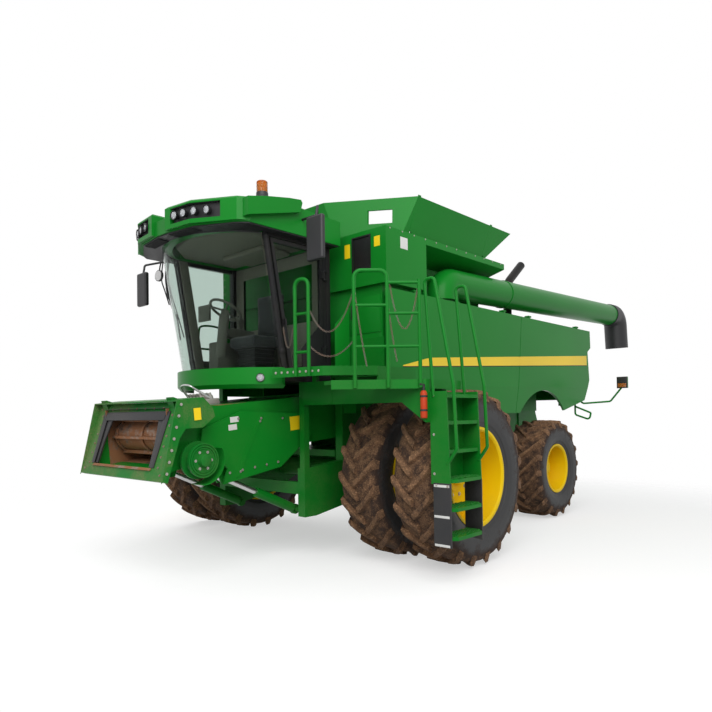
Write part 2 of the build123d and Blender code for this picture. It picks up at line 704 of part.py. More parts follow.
# Bowed sheet between two heights, offset inwards by its thickness.
def bowed_screen(low, high, thickness):
    layers = []
    for inset in (0, thickness):
        half = cab_half - post - running_gap - inset * 0.2
        faces = [nose_face(half, corner + inset * 0.3, cab_nose - inset * 0.6, -1200, z)
                 for z, corner in ((low, cab_post_low_y + 20), (high, cab_post_high_y))]
        layers.append(loft(faces, ruled=True))
    outer, inner = layers
    ahead = prism("x", [(cab_post_low_y - 12, low), (-2600, low), (-2600, high), (cab_post_high_y - 12, high)],
                  -cab_half, cab_half)
    return (outer - inner) & ahead


door_x = (890, 935)
door_hinge = (950, cab_rear_y - 112)
door_hinges = ((2400, 2480), (3300, 3380))     # heights of the knuckles


def cab_shell():
    floor = nose_slab(cab_half, cab_post_low_y, cab_nose, cab_rear_y, cab_floor_z - cab_floor_thick, cab_floor_z)
    rear = block((-cab_half, cab_half), (cab_rear_y - cab_wall, cab_rear_y), (cab_floor_z - 10, glass_top_z))
    rear -= block((-700, 700), (cab_rear_y - 60, cab_rear_y + 10), (2800, 3560))
    body = floor + rear
    for side in (-1, 1):
        low, high = (side * (cab_half - post / 2), side * (cab_half - 15 - post / 2))
        body += bar((low, cab_post_low_y + 20, cab_floor_z - 20), (low, cab_post_high_y + 20, glass_top_z - 1), post / 2)
        body += block(sorted((side * (cab_half - 90), side * cab_half)), (cab_rear_y - 110, cab_rear_y),
                      (cab_floor_z - 10, glass_top_z))
        rail = sorted((side * (cab_half - 60), side * cab_half))
        body += block(rail, (cab_post_high_y + 10, cab_rear_y - 20), (glass_top_z - 50, glass_top_z))
    for low, high in door_hinges:
        for z in (low - 22, high + seat_gap):
            lug = block((900, door_hinge[0] + 10), (door_hinge[1], cab_rear_y - 70), (z, z + 22 - seat_gap))
            body += lug + bar((*door_hinge, z), (*door_hinge, z + 22 - seat_gap), 12)
        body += bar((*door_hinge, low - 10), (*door_hinge, high + 10), 6)
    right = prism("x", [(cab_post_low_y + 40, cab_floor_z - 10), (cab_rear_y - 60, cab_floor_z - 10),
                        (cab_rear_y - 60, 2420), (cab_post_low_y - 10, 2420)], -cab_half + 5, -cab_half + 45)
    return (body + right) & block((-1000, 1000), (-2100, 0), (2000, glass_top_z))


def side_window():
    return prism("x", [(cab_post_low_y + 30, 2420 + seat_gap), (cab_rear_y - 110 - seat_gap, 2420 + seat_gap),
                       (cab_rear_y - 110 - seat_gap, glass_top_z - 50 - seat_gap),
                       (cab_post_high_y + 90, glass_top_z - 50 - seat_gap)], -cab_half + 20, -cab_half + 30)


def rear_window():
    return block((-700 + seat_gap, 700 - seat_gap), (cab_rear_y - 30, cab_rear_y - 20), (2800 + seat_gap, 3560 - seat_gap))


door_outline = [(cab_post_low_y + 65, cab_floor_z + 20), (cab_rear_y - 120, cab_floor_z + 20),
                (cab_rear_y - 120, glass_top_z - 62), (cab_post_high_y + 65, glass_top_z - 62)]


def inset_outline(outline, amount):
    middle = [sum(values) / len(outline) for values in zip(*outline)]
    return [tuple(v + (amount if v < m else -amount) for v, m in zip(point, middle)) for point in outline]


def cab_door():
    frame = prism("x", door_outline, *door_x) - prism("x", inset_outline(door_outline, 45), door_x[0] - 1, door_x[1] + 1)
    low_panel = prism("x", [(cab_post_low_y + 260, cab_floor_z + 25), (cab_rear_y - 170, cab_floor_z + 25),
                            (cab_rear_y - 170, 2760), (cab_post_low_y + 250, 2440)], door_x[1] - 5, door_x[1] + 12)
    hinge = Part()
    for low, high in door_hinges:
        strap = block((door_x[1] - 3, door_hinge[0] + 10), (cab_rear_y - 160, door_hinge[1]), (low, high))
        hinge += strap + bar((*door_hinge, low), (*door_hinge, high), 12) - bar((*door_hinge, low - 1), (*door_hinge, high + 1), 6 + pin_play)
    handle = block((door_x[1] - 2, door_x[1] + 30), (cab_post_low_y - 18, cab_post_low_y + 6), (2690, 2760))
    return frame + low_panel + hinge + handle


def door_glass():
    return prism("x", inset_outline(door_outline, 45 + seat_gap), door_x[0] + 15, door_x[0] + 25)


# Plan of the roof's left half from its rear corner to its middle, and of the lamp pod on it.
roof_plan = [(roof_half, roof_rear_y), (roof_half, -2000), (940, -2110), (540, -2330), (130, -2390)]
pod_plan = [(140, -2425), (545, -2375), (1000, -2110), (1075, -1990), (950, -1950), (140, -2200)]
pod_z = (3712, 3962)
lamp_recess = [(230, -2460), (560, -2410), (860, -2240), (825, -2155), (540, -2315), (230, -2362)]
lamp_recess_z = (3757, 3925)
wing_x = (roof_half - 20, 1130)
beacon_spot = (985, -1760)
beacon_z = (4012, 4070, 4200)   # foot, top of the base, top of the lens


def cab_roof():
    z0 = roof_foot
    side = prism("x", [(-2420, z0), (-2420, 3850), (-2330, 3885), (-1700, 3985), (-1300, 4010), (roof_rear_y, 3985),
                       (roof_rear_y, z0)], -roof_half, roof_half)
    roof = side & prism("z", roof_plan + [(-x, y) for x, y in reversed(roof_plan)], z0, 4100)
    pod = prism("z", pod_plan, *pod_z)
    pod = chamfer(pod.faces().sort_by(Axis.Z)[-1].edges(), 22)
    pod -= prism("z", lamp_recess, *lamp_recess_z)
    wing = prism("x", [(-2060, 3745), (-2060, 3935), (-1800, 3995), (-1500, 4050), (-1330, 4070), (-1308, 4040),
                       (-1340, 3930), (-1650, 3850)], *wing_x)
    roof += pod + mirrored(pod) + wing + mirrored(wing)
    roof -= prism("z", lamp_recess, *lamp_recess_z) + mirrored(prism("z", lamp_recess, *lamp_recess_z))
    roof += bar((*beacon_spot, 3900), (*beacon_spot, beacon_z[0]), 60)
    return roof - nose_slab(cab_half - 60, cab_post_high_y + 60, cab_nose - 100, cab_rear_y - 60, z0 - 5, z0 + 130)


def bumper():
    shell = nose_slab(cab_half, cab_post_low_y - 40, cab_nose, cab_post_low_y - 1, bumper_z[0], bumper_z[1])
    shell = chamfer(shell.faces().sort_by(Axis.Z)[0].edges().filter_by(GeomType.CIRCLE), 45)
    floor_room = nose_slab(cab_half + 1, cab_post_low_y - seat_gap, cab_nose, cab_rear_y,
                           cab_floor_z - cab_floor_thick - seat_gap, bumper_z[1] + 1)
    hollow = nose_slab(cab_half - 50, cab_post_low_y - 2, cab_nose - 40, cab_post_low_y + 1, bumper_z[0] - 1, bumper_z[0] + 50)
    return shell - floor_room - hollow


def seat():
    pedestal = block((-180, 180), (-1250, -930), (cab_floor_z + seat_gap, 2520))
    cushion = block((-250, 250), (-1330, -850), (2520, 2650))
    back = block((-240, 240), (-900, -800), (2650, 3250))
    arm = block((-330, -250), (-1420, -900), (2640, 2800))
    return pedestal + cushion + back + arm


wheel_tilt = 32
wheel_radius = 195


def controls():
    column = bar((0, -1640, cab_floor_z + 60), (0, -1560, 2900), 60)
    base = block((-90, 90), (-1720, -1560), (cab_floor_z + seat_gap, cab_floor_z + 200))
    hub = bar((0, -1575, 2860), (0, -1545, 2960), 45)
    wheel = Pos(0, -1545, 2960) * Rot(-wheel_tilt, 0, 0) * Torus(wheel_radius, 16)
    spokes = Part()
    for angle in (90, 210, 330):
        along = wheel_radius * sin(radians(angle))
        tip = (wheel_radius * cos(radians(angle)), -1545 + along * cos(radians(wheel_tilt)),
               2960 - along * sin(radians(wheel_tilt)))
        spokes += bar((0, -1550, 2950), tip, 12)
    return column + base + hub + wheel + spokes


save("cab_shell", cab_shell())
save("cab_glass", bowed_screen(cab_floor_z + seat_gap, glass_top_z, glass), side_window(), rear_window())
save("cab_door", cab_door())
save("cab_door_glass", door_glass())
save("cab_roof", cab_roof())
save("cab_bumper", bumper())
save("operator_seat", seat())
save("cab_controls", controls())

# ---- Landing, rails and ladder ----
deck_z = (2140, 2186)
landing_z = (1985, 2020)
rail_radius = 19
deck_edge = ((cab_half + 70, -1660), (1650, -1540))
landing_edge = ((1945, -1715), (2600, -1070))
gate_rails = (2340, 2660, 2960)
ladder_x = (2600, 2820)
ladder_y = (-1010, -440)
ladder_plate_z = (1000, 1900)   # of the steel side plates; rubber flaps hang below them
flap_foot_z = 400
box_treads = (1330, 1610, 1870)
hung_treads = (500, 775, 1050)
tread_depth = 34


def platform():
    deck = prism("z", [(cab_half + 70, -1640), (1640, -1520), (1990, -1090), (1990, tank_front - 15),
                       (cab_half + 70, tank_front - 15)], *deck_z)
    face = prism("z", [(cab_half + 70, -1660), (1650, -1540), (2010, -1100), (2010, -1080), (1990, -1080),
                       (1630, -1520), (cab_half + 70, -1640)], 2090, deck_z[1])
    riser = block((1990, 2010), (-1090, tank_front - 15), (landing_z[0], deck_z[1]))
    landing = prism("z", [(1690, -1560), (1940, -1690), (2580, -1060), (2580, tank_front - 15),
                          (2005, tank_front - 15), (2005, -1090)], *landing_z)
    edge = prism("z", [(1930, -1705), (1945, -1715), (2600, -1070), (2600, tank_front - 15), (2580, tank_front - 15),
                       (2580, -1060)], 1930, landing_z[1])
    bracket = prism("y", [(1300, 1800), (2300, 1800), (2590, 1600), (2600, 1600), (2600, 1950), (2580, 1990),
                          (1300, 1990)], -1075, -1035)
    post_plate = block((2580, ladder_x[0]), (-1040, -1000), (1600, 1990))
    inner = block((rail_outer + seat_gap, 1320), (-1080, -1030), (1800, cab_beam_top - 5))
    inner += block((1010, 1070), (-1080, -1030), (1990, deck_z[0] + 5))
    return deck + face + riser + landing + edge + bracket + post_plate + inner


# A rail's foot outside a straight edge of the platform.
def beside_edge(start, end, share):
    along = Vector(end[0] - start[0], end[1] - start[1], 0).normalized()
    spot = Vector(*start, 0) + (Vector(*end, 0) - Vector(*start, 0)) * share
    return spot + Vector(along.Y, -along.X, 0) * (rail_radius + seat_gap)


def handrails():
    hoops = (deck_edge, 0.50, 0.76, 2090, 3100), (landing_edge, 0.25, 0.60, 1940, 3080)
    rails = []
    for edge, near, far, low, top in hoops:
        a, b = beside_edge(*edge, near), beside_edge(*edge, far)
        hoop = pipe([(a.X, a.Y, low), (a.X, a.Y, top), (b.X, b.Y, top), (b.X, b.Y, low)], rail_radius, 75)
        for z in (2340, 2740):
            hoop += bar((a.X, a.Y, z), (b.X, b.Y, z), rail_radius - 4)
        rails.append(hoop)
    end = beside_edge(*landing_edge, 0.94)
    rails[-1] += bar((end.X, end.Y, 1940), (end.X, end.Y, 2990), rail_radius)
    for z in gate_rails:
        rails[-1] += bar((b.X, b.Y, z), (end.X, end.Y, z), rail_radius - 4)
    return rails


def ladder():
    inner, outer = ladder_x
    front, rear = ladder_y
    low, high = ladder_plate_z
    plate = [(inner + seat_gap, high), (inner + seat_gap, low), (outer, low), (outer - 20, 1620), (outer - 30, high)]
    flap = [(inner + 25, low + 15), (inner + 25, flap_foot_z + 20), (outer, flap_foot_z), (outer, low + 15)]
    body = block((inner + 1, inner + 11), (front + 8, rear - 8), (low + 40, high))
    for y in (front, rear - 16):
        body += prism("y", plate, y, y + 16) + prism("y", flap, y + 3, y + 13)
    for z in box_treads:
        body += block((inner + 5, outer - 25), (front + 8, rear - 8), (z - tread_depth, z))
    for z in hung_treads:
        nose = [(inner + 35, front + 8), (outer - 40, front + 8), (outer + 35, front + 75), (outer + 35, rear - 75),
                (outer - 40, rear - 8), (inner + 35, rear - 8)]
        body += prism("z", nose, z - tread_depth, z)
    for y in (front + 8, rear - 8):
        body += pipe([(inner + 38, y, high - 50), (inner - 50, y, 3010), (inner + 65, y, 3010), (outer + 50, y, 1960),
                      (outer + 75, y, 1340), (outer - 30, y, 1200)], 17, 45)
    return body


save("platform", platform(), *handrails())
save("ladder", ladder())

# ---- Feeder house: drawn level, with its trunnion line at (0, 0), then tilted and set in place ----
faceplate_middle = (-2785, 1457)
feeder_tilt = degrees(atan2(feeder_pivot[1] - faceplate_middle[1], feeder_pivot[0] - faceplate_middle[0]))
feeder_length = hypot(feeder_pivot[1] - faceplate_middle[1], feeder_pivot[0] - faceplate_middle[0])
feeder_half = 660
feeder_wall = 14
faceplate_half = 880
faceplate_high = 800
faceplate_thick = 60
faceplate_lean = 17.4           # degrees that the faceplate's foot stands ahead of its top
drum_y = -feeder_length + 330
drum_radius = 170
shaft_radius = 40
upper_shaft_y = -260            # the conveyor's driving shaft
pulley_axis = (-feeder_length + 310, -235)
feeder_shield_x = (690, 712)
slat = 26
lift_eye_local = (-2100, -500)   # pin of each lift cylinder on the house


def in_place(shape):
    return Pos(0, *feeder_pivot) * (Rot(feeder_tilt, 0, 0) * shape)


# Where the house's slanted front end lies at height z.
def house_front(z):
    lean = radians(faceplate_lean + feeder_tilt)
    return -feeder_length + (faceplate_thick + seat_gap) / cos(lean) + z * sin(lean) / cos(lean)


def feeder_house():
    half, wall = feeder_depth_half, feeder_wall
    low, high = -half - 50, half + 50
    outside = prism("x", [(house_front(low), low), (-feeder_length + 700, -half), (230, -half), (230, half),
                          (-feeder_length + 700, half), (house_front(high), high)], -feeder_half, feeder_half)
    inside = prism("x", [(house_front(low) - 20, low + wall), (-feeder_length + 700, -half + wall), (300, -half + wall),
                         (300, half - wall), (-feeder_length + 700, half - wall), (house_front(high) - 20, high - wall)],
                   -feeder_half + wall, feeder_half - wall)
    body = outside - inside
    for side in (-1, 1):
        body += bar((side * (feeder_half - wall), 0, 0), (side * (rail_outer - 5), 0, 0), trunnion_radius)
        for offset in (-40, 40):
            middle = side * lift_x + offset
            head = middle + (25 if offset > 0 else -25)
            body += prism("x", [(-2230, -half + 5), (-1950, -half + 5), (-2060, -560), (-2140, -560)], middle - 10, middle + 10)
            body += bar((middle, *lift_eye_local), (head, *lift_eye_local), pin_radius)
    return body + bar((feeder_half - 5, *pulley_axis), (700 - seat_gap, *pulley_axis), 60)


cheek = [(-2766, 387), (-2475, 390), (-2374, 281), (-2353, 188), (-2502, 92), (-2702, 100), (-2838, -58),
         (-2952, -319), (-3008, -384)]
cheek_thick = 14
pulley_room = 215


# Side cheek of the faceplate, and the plate over the top between the cheeks.
def hood_plates():
    outer = faceplate_half
    plates = Part()
    for side in (-1, 1):
        plates += prism("x", cheek, *sorted((side * (outer - cheek_thick), side * outer)))
    plates += prism("x", [(-2768, 387), (-2475, 390), (-2475, 376), (-2768, 373)], -outer, outer)
    return plates - bar((-outer - 1, *pulley_axis), (outer + 1, *pulley_axis), pulley_room)


def faceplate():
    high = faceplate_high / 2
    plate = block((-faceplate_half, faceplate_half), (0, faceplate_thick), (-high, high))
    plate -= block((-620, 620), (-1, faceplate_thick + 1), (-high + 120, high - 120))
    for side in (-1, 1):
        plate += prism("x", [(-70, high + 20), (0, high - 70), (faceplate_thick, high - 70), (faceplate_thick, high + 30),
                             (-50, high + 30)], side * 700 - 50, side * 700 + 50)
    return Pos(0, -feeder_length, 0) * (Rot(-faceplate_lean - feeder_tilt, 0, 0) * plate) + hood_plates()


def conveyor():
    half = drum_radius + running_gap + 12
    reach = feeder_half - feeder_wall - seat_gap
    slats = bar((-reach, upper_shaft_y, 0), (reach, upper_shaft_y, 0), shaft_radius)
    for x in (-560, 0, 560):
        chain = prism("x", [(drum_y, -half), (upper_shaft_y, -half), (upper_shaft_y, -half + 12), (drum_y, -half + 12)], x - 20, x + 20)
        chain += prism("x", [(drum_y, half - 12), (upper_shaft_y, half - 12), (upper_shaft_y, half), (drum_y, half)], x - 20, x + 20)
        bend = ring_bar((x - 20, drum_y, 0), (x + 20, drum_y, 0), half, half - 12)
        slats += chain + (bend & block((x - 30, x + 30), (drum_y - 300, drum_y), (-300, 300)))
        slats += bar((x - 15, upper_shaft_y, 0), (x + 15, upper_shaft_y, 0), half)
    for step in range(9):
        y = drum_y + 120 + 220 * step
        for z in (-half - slat, half - 4):
            slats += block((-600, 600), (y, y + slat), (z, z + slat + 4))
    for angle in (115, 180, 245):
        y, z = drum_y + (half + 8) * cos(radians(angle)), (half + 8) * sin(radians(angle))
        slats += Pos(0, y, z) * (Rot(angle, 0, 0) * Box(1200, slat + 10, slat))
    return slats


def drum():
    reach = feeder_half - feeder_wall - seat_gap
    shaft = bar((-reach, drum_y, 0), (reach, drum_y, 0), shaft_radius)
    return shaft + bar((-620, drum_y, 0), (620, drum_y, 0), drum_radius)


def pulley():
    return turned([(760, 190), (790, 190), (790, 120), (850, 120), (850, 165), (880, 165), (880, 60), (930, 60),
                   (930, 0), (700, 0), (700, 80), (760, 80)], *pulley_axis)


guard_radius = 240


def feeder_shield():
    inner, outer = feeder_shield_x
    plate = prism("x", [(-2440, -95), (-2405, 60), (-1900, 196), (-898, 63), (-880, -179), (-1411, -492),
                        (-2210, -548), (-2136, -394), (-2314, -157)], inner, outer)
    strap = prism("x", [(-1660, 122), (-1610, 122), (-2000, -505), (-2050, -505)], outer - 2, outer + 6)
    y, z = pulley_axis
    guard = ring_bar((inner, y, z), (900, y, z), guard_radius + 6, guard_radius)
    guard &= prism("x", [(y, z), (y + 400, z + 170), (y + 400, z - 400), (y - 60, z - 400)], inner - 1, 901)
    for stay_y in (-1800, -1300):
        plate += bar((feeder_half + seat_gap, stay_y, -100), (inner + 5, stay_y, -100), 40)
    return plate + strap + guard


save("feeder_house", in_place(feeder_house()))
save("feeder_faceplate", in_place(faceplate()))
save("feeder_conveyor", in_place(conveyor()))
save("feeder_drum", in_place(drum()))
save("feeder_pulley", in_place(pulley()))
save("feeder_shield", in_place(feeder_shield()))

# ---- Lift cylinders ----
tilt = radians(feeder_tilt)
lift_eye = (feeder_pivot[0] + lift_eye_local[0] * cos(tilt) - lift_eye_local[1] * sin(tilt),
            feeder_pivot[1] + lift_eye_local[0] * sin(tilt) + lift_eye_local[1] * cos(tilt))
barrel_radius = 55
rod_radius = 30
barrel_length = 640
rod_start = 400                 # from the barrel's pin, as drawn


def along_lift(distance, x=lift_x):
    span = hypot(lift_eye[0] - lift_base[0], lift_eye[1] - lift_base[1])
    return (x, lift_base[0] + (lift_eye[0] - lift_base[0]) * distance / span,
            lift_base[1] + (lift_eye[1] - lift_base[1]) * distance / span)


def lift_barrel():
    eye = ring_bar((lift_x - 25, *lift_base), (lift_x + 25, *lift_base), 60, pin_radius + pin_play)
    tube = ring_bar(along_lift(50), along_lift(barrel_length), barrel_radius, rod_radius + pin_play)
    return eye + tube + bar(along_lift(45), along_lift(90), barrel_radius)


def lift_rod():
    span = hypot(lift_eye[0] - lift_base[0], lift_eye[1] - lift_base[1])
    rod = bar(along_lift(rod_start), along_lift(span - 45), rod_radius)
    eye = ring_bar((lift_x - 24, *lift_eye), (lift_x + 24, *lift_eye), 50, pin_radius)
    return rod + eye


save("lift_barrel_left", lift_barrel())
save("lift_barrel_right", mirrored(lift_barrel()))
save("lift_rod_left", lift_rod())
save("lift_rod_right", mirrored(lift_rod()))

# ---- Beacon, mirrors, marker arms ----


def beacon():
    foot, middle, top = beacon_z
    lens = bar((*beacon_spot, middle + seat_gap), (*beacon_spot, top), 58)
    lens = fillet(lens.faces().sort_by(Axis.Z)[-1].edges(), 35)
    return [bar((*beacon_spot, foot + seat_gap), (*beacon_spot, middle), 62), lens]


mirror_wide = (1485, 1725)      # across the machine
mirror_thick = 60


# Mirror on an arm from the roof's side; z is the glass's foot and top.
def mirror_on(side, y, z):
    head = block(sorted((side * mirror_wide[0], side * mirror_wide[1])), (y, y + mirror_thick), z)
    head = fillet(head.edges(), 24)
    middle = side * sum(mirror_wide) / 2
    root = side * (roof_half + seat_gap)
    return head + pipe([(root, -1250, 3880), (side * 1300, -1250, 3880), (middle, y + 60, z[1] + 110),
                        (middle, y + 30, z[1] - 60)], 14, 35)


def marker_arm():
    y = hood_rear - 130
    foot = block((1500 + seat_gap, 1512), (y - 40, y + 40), (2140, 2290))
    arm = pipe([(1522, y, 2250), (1522, y, 1820), (1990, y + 170, 1850), (2200, y + 170, 2100)], 16, 60)
    lamp = block((2120, 2300), (y + 150, y + 190), (2080, 2280))
    return foot + arm + lamp


save("beacon_lamp", *beacon())
save("side_mirrors", mirror_on(1, -1600, (3270, 3730)), mirror_on(-1, -1770, (3190, 3640)))
save("marker_arms", marker_arm(), mirrored(marker_arm()))
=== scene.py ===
import bpy
import bmesh
from math import cos, pi, radians, sin
from mathutils import Matrix, Vector


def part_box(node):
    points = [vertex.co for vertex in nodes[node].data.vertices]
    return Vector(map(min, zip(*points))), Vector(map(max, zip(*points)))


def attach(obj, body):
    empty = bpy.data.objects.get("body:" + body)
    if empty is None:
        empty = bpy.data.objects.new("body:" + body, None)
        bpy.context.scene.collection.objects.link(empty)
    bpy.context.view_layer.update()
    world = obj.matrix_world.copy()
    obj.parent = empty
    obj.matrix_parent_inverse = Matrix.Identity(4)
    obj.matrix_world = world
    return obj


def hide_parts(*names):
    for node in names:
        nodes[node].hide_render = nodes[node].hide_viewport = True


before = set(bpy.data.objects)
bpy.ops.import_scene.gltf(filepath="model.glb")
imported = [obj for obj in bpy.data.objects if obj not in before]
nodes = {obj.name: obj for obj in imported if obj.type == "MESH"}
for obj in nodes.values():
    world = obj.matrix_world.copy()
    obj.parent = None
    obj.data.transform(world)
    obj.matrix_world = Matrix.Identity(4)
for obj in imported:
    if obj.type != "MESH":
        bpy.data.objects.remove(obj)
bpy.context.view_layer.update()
print("frame loaded")

# Places below are written from the middle of the front axle on the ground, as the machine was drawn.
leftTyres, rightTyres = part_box("front_tyres_left"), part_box("front_tyres_right")
axleMiddle = Vector(((leftTyres[1].x + rightTyres[0].x) / 2, (leftTyres[0].y + leftTyres[1].y) / 2, 0))


def place(x, y, z):
    return axleMiddle + Vector((x, y, z))


def newObject(name, data):
    made = bpy.data.objects.new(name, data)
    bpy.context.scene.collection.objects.link(made)
    return made


# Camera, light and floor
cameraSet = {"at": (6.168, -5.952, 1.692), "turn": 42.63, "rise": 1.27, "roll": -0.82, "lens": 31.34,
             "shiftY": 0.0619}
lampSets = {
    "keyLamp": {"at": (7.5, -7.0, 8.5), "aim": (0, 0.5, 1.8), "power": 1080, "size": 9.0, "glossy": True},
    "fillLamp": {"at": (-8.0, 1.0, 7.5), "aim": (0, 2.0, 2.0), "power": 380, "size": 8.0, "glossy": False},
}
worldForLight = 0.52     # strength of the white world where it lights the machine
floorSet = {"half": 60.0, "seen": 0.58, "bounce": 0.40, "lift": 0.50, "fadeFrom": 4.2, "fadeTo": 8.0}


def makeCamera():
    camera = newObject("camera", bpy.data.cameras.new("camera"))
    turn = Matrix.Rotation(radians(cameraSet["turn"]), 4, "Z")
    rise = Matrix.Rotation(radians(90 + cameraSet["rise"]), 4, "X")
    roll = Matrix.Rotation(radians(cameraSet["roll"]), 4, "Z")
    camera.matrix_world = Matrix.Translation(place(*cameraSet["at"])) @ turn @ rise @ roll
    camera.data.lens = cameraSet["lens"]
    camera.data.sensor_width = 36
    camera.data.shift_y = cameraSet["shiftY"]
    camera.data.clip_end = 200
    bpy.context.scene.camera = camera


def addLamp(name, at, aim, power, size, glossy):
    lamp = bpy.data.lights.new(name, "AREA")
    lamp.energy, lamp.size = power, size
    holder = newObject(name, lamp)
    holder.location = place(*at)
    holder.visible_glossy = glossy
    holder.visible_camera = holder.visible_transmission = False
    holder.rotation_euler = (place(*aim) - place(*at)).to_track_quat("-Z", "Y").to_euler()


# Sets a node's inputs, by name or number: a socket is linked, anything else is written in.
def wire(tree, made, values):
    for key, value in values.items():
        if isinstance(value, bpy.types.NodeSocket):
            tree.links.new(value, made.inputs[key])
        else:
            made.inputs[key].default_value = value
    return made


def node(tree, kind, values=None, **settings):
    made = tree.nodes.new(kind)
    for name, value in settings.items():
        setattr(made, name, value)
    return wire(tree, made, values or {})


def ranged(tree, value, low, high, toLow=0.0, toHigh=1.0):
    values = {"Value": value, "From Min": low, "From Max": high, "To Min": toLow, "To Max": toHigh}
    return node(tree, "ShaderNodeMapRange", values).outputs["Result"]


def mathNode(tree, operation, first, second, clamp=False):
    made = node(tree, "ShaderNodeMath", {0: first, 1: second}, operation=operation, use_clamp=clamp)
    return made.outputs[0]


def times(tree, first, second):
    return mathNode(tree, "MULTIPLY", first, second)


def plus(tree, first, second):
    return mathNode(tree, "ADD", first, second)


def mixColour(tree, share, first, second):
    return node(tree, "ShaderNodeMix", {"Factor": share, 6: first, 7: second}, data_type="RGBA").outputs[2]


def objectSpot(tree):
    return node(tree, "ShaderNodeTexCoord").outputs["Object"]


def noiseOf(tree, scale, detail, vector, rough=0.55):
    values = {"Scale": scale, "Detail": detail, "Roughness": rough, "Vector": vector}
    return node(tree, "ShaderNodeTexNoise", values).outputs["Fac"]


# 1 for rays from the camera and for those that gloss and glass send on, 0 for the rest.
def seenByCamera(tree):
    path = node(tree, "ShaderNodeLightPath").outputs
    gloss = mathNode(tree, "MAXIMUM", path["Is Glossy Ray"], path["Is Transmission Ray"])
    return mathNode(tree, "MAXIMUM", path["Is Camera Ray"], gloss)


# World: white for the camera, glass and gloss, softer for what it lights.
def makeWorld():
    world = bpy.data.worlds.new("studio")
    bpy.context.scene.world = world
    world.use_nodes = True
    tree = world.node_tree
    tree.nodes.clear()
    strength = node(tree, "ShaderNodeMix", {"Factor": seenByCamera(tree), "A": worldForLight, "B": 1.0},
                    data_type="FLOAT")
    background = node(tree, "ShaderNodeBackground", {"Color": (1, 1, 1, 1), "Strength": strength.outputs[0]})
    node(tree, "ShaderNodeOutputWorld", {"Surface": background.outputs[0]})


# Floor that fades into the white world away from the machine, so its shadow stays and no edge shows.
def makeFloor():
    half = floorSet["half"]
    mesh = bpy.data.meshes.new("floor")
    corners = [(-half, -half, 0), (half, -half, 0), (half, half, 0), (-half, half, 0)]
    mesh.from_pydata(corners, [], [(0, 1, 2, 3)])
    floor = newObject("floor", mesh)
    finish = bpy.data.materials.new("floorPaper")
    finish.use_nodes = True
    tree = finish.node_tree
    tree.nodes.clear()
    seen = seenByCamera(tree)
    pale, grey = [(floorSet[key],) * 3 + (1,) for key in ("seen", "bounce")]
    paper = node(tree, "ShaderNodeBsdfDiffuse", {"Color": mixColour(tree, seen, grey, pale)})
    lift = node(tree, "ShaderNodeEmission", {"Strength": times(tree, seen, floorSet["lift"])})
    lit = node(tree, "ShaderNodeAddShader", {0: paper.outputs[0], 1: lift.outputs[0]})
    clear = node(tree, "ShaderNodeBsdfTransparent")
    distance = node(tree, "ShaderNodeVectorMath", {0: objectSpot(tree)}, operation="LENGTH")
    reach = {"Value": distance.outputs["Value"], "From Min": floorSet["fadeFrom"],
             "From Max": floorSet["fadeTo"]}
    fade = node(tree, "ShaderNodeMapRange", reach, interpolation_type="SMOOTHSTEP")
    shares = {"Fac": fade.outputs["Result"], 1: lit.outputs[0], 2: clear.outputs[0]}
    mix = node(tree, "ShaderNodeMixShader", shares)
    node(tree, "ShaderNodeOutputMaterial", {"Surface": mix.outputs[0]})
    mesh.materials.append(finish)


makeCamera()
makeWorld()
makeFloor()
for lampName, lampSet in lampSets.items():
    addLamp(lampName, **lampSet)
bpy.context.scene.view_settings.view_transform = "Standard"
print("camera, light and floor ready")


# A shader group. Inputs given as four numbers are colours, and so is the output named Colour.
def newGroup(name, inputs, outputs):
    group = bpy.data.node_groups.new(name, "ShaderNodeTree")
    for label, value in inputs.items():
        kind = "NodeSocketColor" if isinstance(value, tuple) else "NodeSocketFloat"
        group.interface.new_socket(label, in_out="INPUT", socket_type=kind).default_value = value
    for label in outputs:
        kind = "NodeSocketColor" if label == "Colour" else "NodeSocketFloat"
        group.interface.new_socket(label, in_out="OUTPUT", socket_type=kind)
    return group, group.nodes.new("NodeGroupInput").outputs, group.nodes.new("NodeGroupOutput")


# Field dust: a film that thickens towards the ground and in patches, with a fine grain.
def makeDustGroup():
    inputs = {"Colour": (0.5, 0.5, 0.5, 1), "Dust": (0.30, 0.22, 0.13, 1), "Amount": 0.3, "Clean Height": 2.6,
              "Roughness": 0.3}
    group, given, out = newGroup("fieldDust", inputs, ["Colour", "Roughness", "Height"])
    spot = objectSpot(group)
    height = node(group, "ShaderNodeSeparateXYZ", {0: spot}).outputs["Z"]
    reach = {"Value": height, "From Min": given["Clean Height"], "From Max": 0.2}
    low = node(group, "ShaderNodeMapRange", reach).outputs["Result"]
    patches = ranged(group, noiseOf(group, 1.7, 6, spot, 0.65), 0.42, 0.70)
    grain = ranged(group, noiseOf(group, 60, 3, spot), 0.35, 0.75)
    film = times(group, patches, plus(group, low, 0.15))
    film = times(group, film, plus(group, grain, 0.5))
    cover = mathNode(group, "MULTIPLY", film, given["Amount"], clamp=True)
    shade = ranged(group, noiseOf(group, 0.6, 2, spot), 0.3, 0.7, 0.92, 1.08)
    tone = node(group, "ShaderNodeHueSaturation", {"Color": given["Colour"], "Value": shade}).outputs[0]
    wire(group, out, {"Colour": mixColour(group, cover, tone, given["Dust"]),
                      "Roughness": plus(group, given["Roughness"], times(group, cover, 0.5)),
                      "Height": times(group, grain, cover)})
    return group


